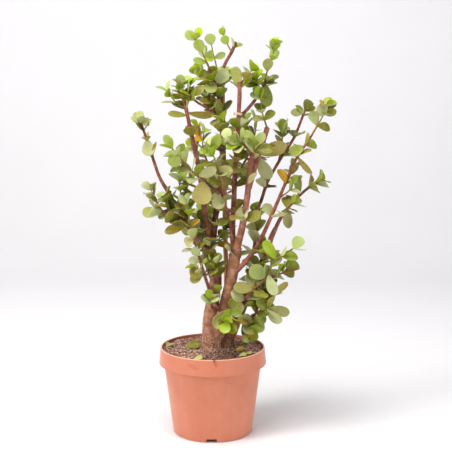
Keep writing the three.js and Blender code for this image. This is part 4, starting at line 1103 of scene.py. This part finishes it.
def rounded(outline):
    """An outline of (radius, height, rounding) with its corners rounded."""
    points = []
    for k, (radius, height, bend) in enumerate(outline):
        if bend == 0:
            points.append((radius, height))
            continue
        before = outline[k - 1][:2]
        after = outline[k + 1][:2]
        points.extend(corner(before, (radius, height), after, bend))
    return points


def lathe_sheet(outline, sides):
    """A surface of revolution whose outline starts and ends on the axis."""
    sheet = Sheet()
    rings = [sheet.ring(radius, height, sides) for radius, height in outline[1:-1]]
    first = sheet.point((0, 0, outline[0][1]))
    last = sheet.point((0, 0, outline[-1][1]))
    sheet.skin(rings, ends=False)
    sheet.fan(rings[0][::-1], first)
    sheet.fan(rings[-1], last)
    return sheet


def pot_outline():
    ledge = BAND_FOOT + 1.2 * WALL
    ledge_radius = BAND_FOOT_RADIUS - WALL - 0.3
    outline = [
        (0, 0, 0),
        (FOOT_RADIUS, 0, 2.6),
        *((pot_radius(height), height, 0) for height in (20, 45, 70, 95, 118)),
        (WALL_TOP_RADIUS, BAND_FOOT, 2.2),
        (BAND_FOOT_RADIUS, BAND_FOOT, 1.1),
        (BAND_FOOT_RADIUS - 1.5, BAND_FOOT + 15, 0),
        (RIM_RADIUS, POT_HEIGHT, 1.2),
        (RIM_RADIUS - WALL, POT_HEIGHT, 1.1),
        (ledge_radius, ledge, 1.5),
        (WALL_TOP_RADIUS - WALL, ledge, 1.5),
        (pot_radius(BASE) - WALL, BASE, 2),
        (0, BASE, 0),
    ]
    return rounded(outline)


def cut_notches(pot):
    """Four slots in the foot's edge, wider at the floor than above."""
    sheet = Sheet()
    for quarter in range(4):
        angle = math.radians(90 * quarter + NOTCH_TURN)
        across, out = turned(RIGHT, UP, angle), turned(FRONT, UP, angle)
        sheet.skin([
            [sheet.point(across * x + out * reach + UP * z) for x, z in NOTCH_OUTLINE]
            for reach in (FOOT_RADIUS - NOTCH_REACH, FOOT_RADIUS + NOTCH_REACH)
        ])
    cutter = add_object("notches", sheet.mesh("notches"))
    cut = pot.modifiers.new("notches", "BOOLEAN")
    cut.object = cutter
    cut.operation = "DIFFERENCE"
    cut.solver = "EXACT"
    bpy.context.view_layer.update()
    view = bpy.context.evaluated_depsgraph_get()
    shaped = bpy.data.meshes.new_from_object(pot.evaluated_get(view))
    pot.modifiers.clear()
    pot.data = shaped
    bpy.data.objects.remove(cutter)
    pot.data.shade_smooth()
    pot.data.set_sharp_from_angle(angle=math.radians(38))


def soil_height(x, y):
    """The CAD model's height of the mix."""
    middle = max(0, 1 - math.hypot(x - 10, y) / 70)
    dips = math.sin(x * 0.075 + 1) * math.cos(y * 0.09) + 0.5 * math.sin(x * 0.19 + y * 0.15)
    return SOIL_TOP + 3 * middle + 0.8 * dips


def soil_drop(radius):
    """How far the mix has turned down near the pot's wall."""
    return SOIL_DROP * max(0, (radius - SOIL_RADIUS + SOIL_EDGE) / SOIL_EDGE) ** 2


def soil_sheet():
    """A lumpy disc that turns down at the pot's wall, closed by its own body below."""
    sheet = Sheet()
    sides = 180
    count = 60
    rings = []
    for k in range(count, 0, -1):
        radius = SOIL_RADIUS * math.sqrt(k / count)
        ring = []
        for angle in circle(sides):
            x = radius * math.cos(angle)
            y = radius * math.sin(angle)
            crumb = noise.noise(Vector((x, y, 0)) * 0.22) * 1.3
            crumb += noise.noise(Vector((x, y, 7)) * 0.7) * 0.8
            ring.append(sheet.point((x, y, soil_height(x, y) + crumb - soil_drop(radius))))
        rings.append(ring)
    body = [
        (SOIL_RADIUS + 1.5, BAND_FOOT + 6), (WALL_TOP_RADIUS - WALL, BAND_FOOT + 1),
        (pot_radius(BASE) - WALL, BASE + 0.5),
    ]
    lower = [sheet.ring(radius, height, sides) for radius, height in body]
    sheet.skin([*reversed(lower), *rings])
    return sheet


# Crumbs caught on the pot's lip: place and half-widths.
LIP_CRUMBS = [
    ((2.5, -95.6, 162.4), (1.8, 0.8, 0.6)), ((4.6, -96.4, 162.2), (0.8, 1.1, 0.9)),
    ((5.4, -97.6, 160.6), (0.7, 0.5, 1.3)), ((0.6, -95.0, 162.3), (1.0, 0.5, 0.4)),
]


def crumb_sheet():
    """Crumbs of bark, grit and fibre strewn over the mix, and a few on the lip."""
    chance = Dice(SEEDS["crumbs"])
    sheet = Sheet("kind")
    base = bmesh.new()
    bmesh.ops.create_icosphere(base, subdivisions=1, radius=1)
    points = [np.array(v.co) for v in base.verts]
    faces = [tuple(v.index for v in face.verts) for face in base.faces]
    base.free()

    def add_crumb(middle, shape, unevenness, kind):
        first = len(sheet.points)
        for point in points:
            wobble = 1 + unevenness * chance.swing()
            sheet.point(middle + shape @ point * wobble, kind=kind)
        sheet.faces.extend(tuple(first + k for k in face) for face in faces)

    for _ in range(CRUMBS):
        radius = CRUMB_REACH * math.sqrt(chance.roll())
        angle = 2 * math.pi * chance.roll()
        x = radius * math.cos(angle)
        y = radius * math.sin(angle)
        size = 0.5 + 1.2 * chance.roll() ** 3
        kind = chance.roll()
        long = 1 + 1.6 * chance.roll() ** 3
        stretch = np.array([long, 0.8 + 0.4 * chance.roll(), 0.5 + 0.4 * chance.roll()]) * size
        turn = Matrix.Rotation(2 * math.pi * chance.roll(), 3, "Z")
        turn = np.array(turn @ Matrix.Rotation(chance.swing(), 3, "X"))
        height = soil_height(x, y) + 0.5 + size * 0.3 - soil_drop(radius)
        add_crumb(np.array([x, y, height]), turn @ np.diag(stretch), 0.35, kind)
    for place, size in LIP_CRUMBS:
        add_crumb(np.array(place), np.diag(size), 0.5, 0.02)
    return sheet


def build_pot_and_soil():
    pot = lathe_sheet(pot_outline(), 192).build("pot_shell", pot_material(), "pot", ["pot"])
    cut_notches(pot)
    soil_sheet().build("potting_mix", soil_material(), "soil", ["soil"])
    crumb_sheet().build("soil_crumbs", crumb_material(), "soil", smooth=False)


def build_fallen_leaves(blade):
    chance = Dice(SEEDS["fallen"])
    for order, ((x, y), turn, length, width, look) in enumerate(FALLEN_LEAVES):
        angle = math.radians(turn)
        tilt = 0.12 + 0.3 * chance.roll()
        along = unit(np.array([math.cos(angle), math.sin(angle), tilt * 0.4]))
        out = unit(np.array([-math.sin(angle) * tilt, math.cos(angle) * -tilt - 0.25, 1.0]))
        out = square_to(out, along)
        foot = np.array([x, y, soil_height(x, y) + 1.8])
        leaf = Leaf(foot, along, out, length, width)
        sheet = Sheet(*LEAF_MARKS)
        add_leaf(sheet, leaf, dict(zip(LEAF_MARKS, look)), bend=0.08, cup=0.5, twist=0.3)
        name = f"fallen_leaf_{order + 1}"
        sheet.build(f"{name}_blade", blade, "foliage", [name])


CANE_FOOT = np.array([29.0, 30.0, 100.0])
CANE_TOP = np.array([18.0, 32.0, 657.0])
CANE_RADIUS = 4.3
CANE_JOINTS = (0.18, 0.43, 0.66, 0.88)


def build_stake():
    """A cane with a faint joint here and there, and its top edge worn."""
    sheet = Sheet("along")
    span = CANE_TOP - CANE_FOOT
    side = unit(np.cross(FRONT, unit(span)))
    front = np.cross(side, unit(span))
    steps = 120
    rings = []
    for k in range(steps + 1):
        at = k / steps
        knot = sum(math.exp(-((at - place) * 140) ** 2) for place in CANE_JOINTS)
        radius = CANE_RADIUS * (1 + 0.1 * knot) * (1 if k < steps else 0.8)
        ring = []
        for angle in circle(20):
            way = between(side, front, angle)
            wave = 1 + 0.05 * noise.noise(Vector((angle * 2, at * 30, 3)))
            place = CANE_FOOT + span * at + way * radius * wave
            ring.append(sheet.point(place, along=at * span[2]))
        rings.append(ring)
    sheet.skin(rings)
    sheet.build("cane_stake", cane_material(), "cane", ["stake"])


# ---- Ties -----------------------------------------------------------------------------------
def tube_sheet(path, radius, sides=8):
    """A tube along a list of points, closed at its ends."""
    sheet = Sheet()
    rings = []
    side = UP
    for k, place in enumerate(path):
        way = unit(path[min(k + 1, len(path) - 1)] - path[max(k - 1, 0)])
        side = square_to(side, way)
        front = np.cross(side, way)
        ways = [between(side, front, angle) for angle in circle(sides)]
        rings.append([sheet.point(place + way * radius) for way in ways])
    sheet.skin(rings)
    return sheet


TIE_STEPS = 48  # in one turn
TIE_PITCH = 1.2  # how far it climbs in one turn


def tie_path(node, start, turns, wander):
    """An oval wound round the stems just inside the CAD ring's box, from an angle in degrees."""
    low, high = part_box(node)
    centre = np.array((low + high) / 2) / MM
    half = np.array((high - low) / 2) / MM
    path = []
    for k in range(int(TIE_STEPS * turns) + 1):
        wound = k / TIE_STEPS
        angle = math.radians(start) + 2 * math.pi * wound
        lift = wander * math.sin(3 * angle) + TIE_PITCH * (wound - turns / 2)
        path.append(centre + np.array([half[0] * math.cos(angle), half[1] * math.sin(angle), lift]))
    return path


def build_tie(node, material, slot, path, radius, sides=8):
    tube_sheet(path, radius, sides).build(f"{node}_loop", material, slot, [node])


def build_ties():
    """Two wires and a band of raffia; the low wire and the raffia have a loose end."""
    wire = wire_material()
    low = tie_path("wire_tie_low", start=200, turns=1.95, wander=0.8)
    high = tie_path("wire_tie_high", start=250, turns=1.9, wander=0.5)
    raffia = tie_path("raffia_tie", start=250, turns=2.9, wander=0.6)
    wire_end, raffia_end = low[-1], raffia[-1]
    for k in range(1, 4):
        low.append(wire_end + np.array([-3.5 * k, -1.2 * k, -2.6 * k + 1.6 * math.sin(k * 2)]))
        raffia.append(raffia_end + np.array([4.5 * k, -2 + 0.5 * k, 0.8 * math.sin(k)]))
    build_tie("wire_tie_low", wire, "wire", low, 1.0)
    build_tie("wire_tie_high", wire, "wire", high, 0.9)
    build_tie("raffia_tie", raffia_material(), "raffia", raffia, 0.8, sides=6)


# ---- The scene ------------------------------------------------------------------------------
add_camera()
add_world()
add_stage()
add_area_light("window", (-2.3, -1.3, 1.6), (0, 0, 0.4), (1.1, 1.1), 54, (1, 0.985, 0.96))
add_area_light("fill", (2.2, -1.4, 1.2), (0, 0, 0.35), (1.6, 1.8), 36)
add_area_light("above", (-0.4, -0.6, 2.4), (0, 0, 0.4), (1.4, 1.4), 50, (1, 0.99, 0.96))
add_area_light("backdrop_wash", (0, 0.6, 2.6), (0, 2.2, 0.9), (3.0, 1.0), 10)

plant = Plant(cad_box, Dice(SEEDS["growth"]))
plant.grow()
plant.open_up()
plant.grow_twigs()
leaf_finish = leaf_material()
build_plant(plant, bark_material(), leaf_finish)
build_pot_and_soil()
build_fallen_leaves(leaf_finish)
build_stake()
build_ties()
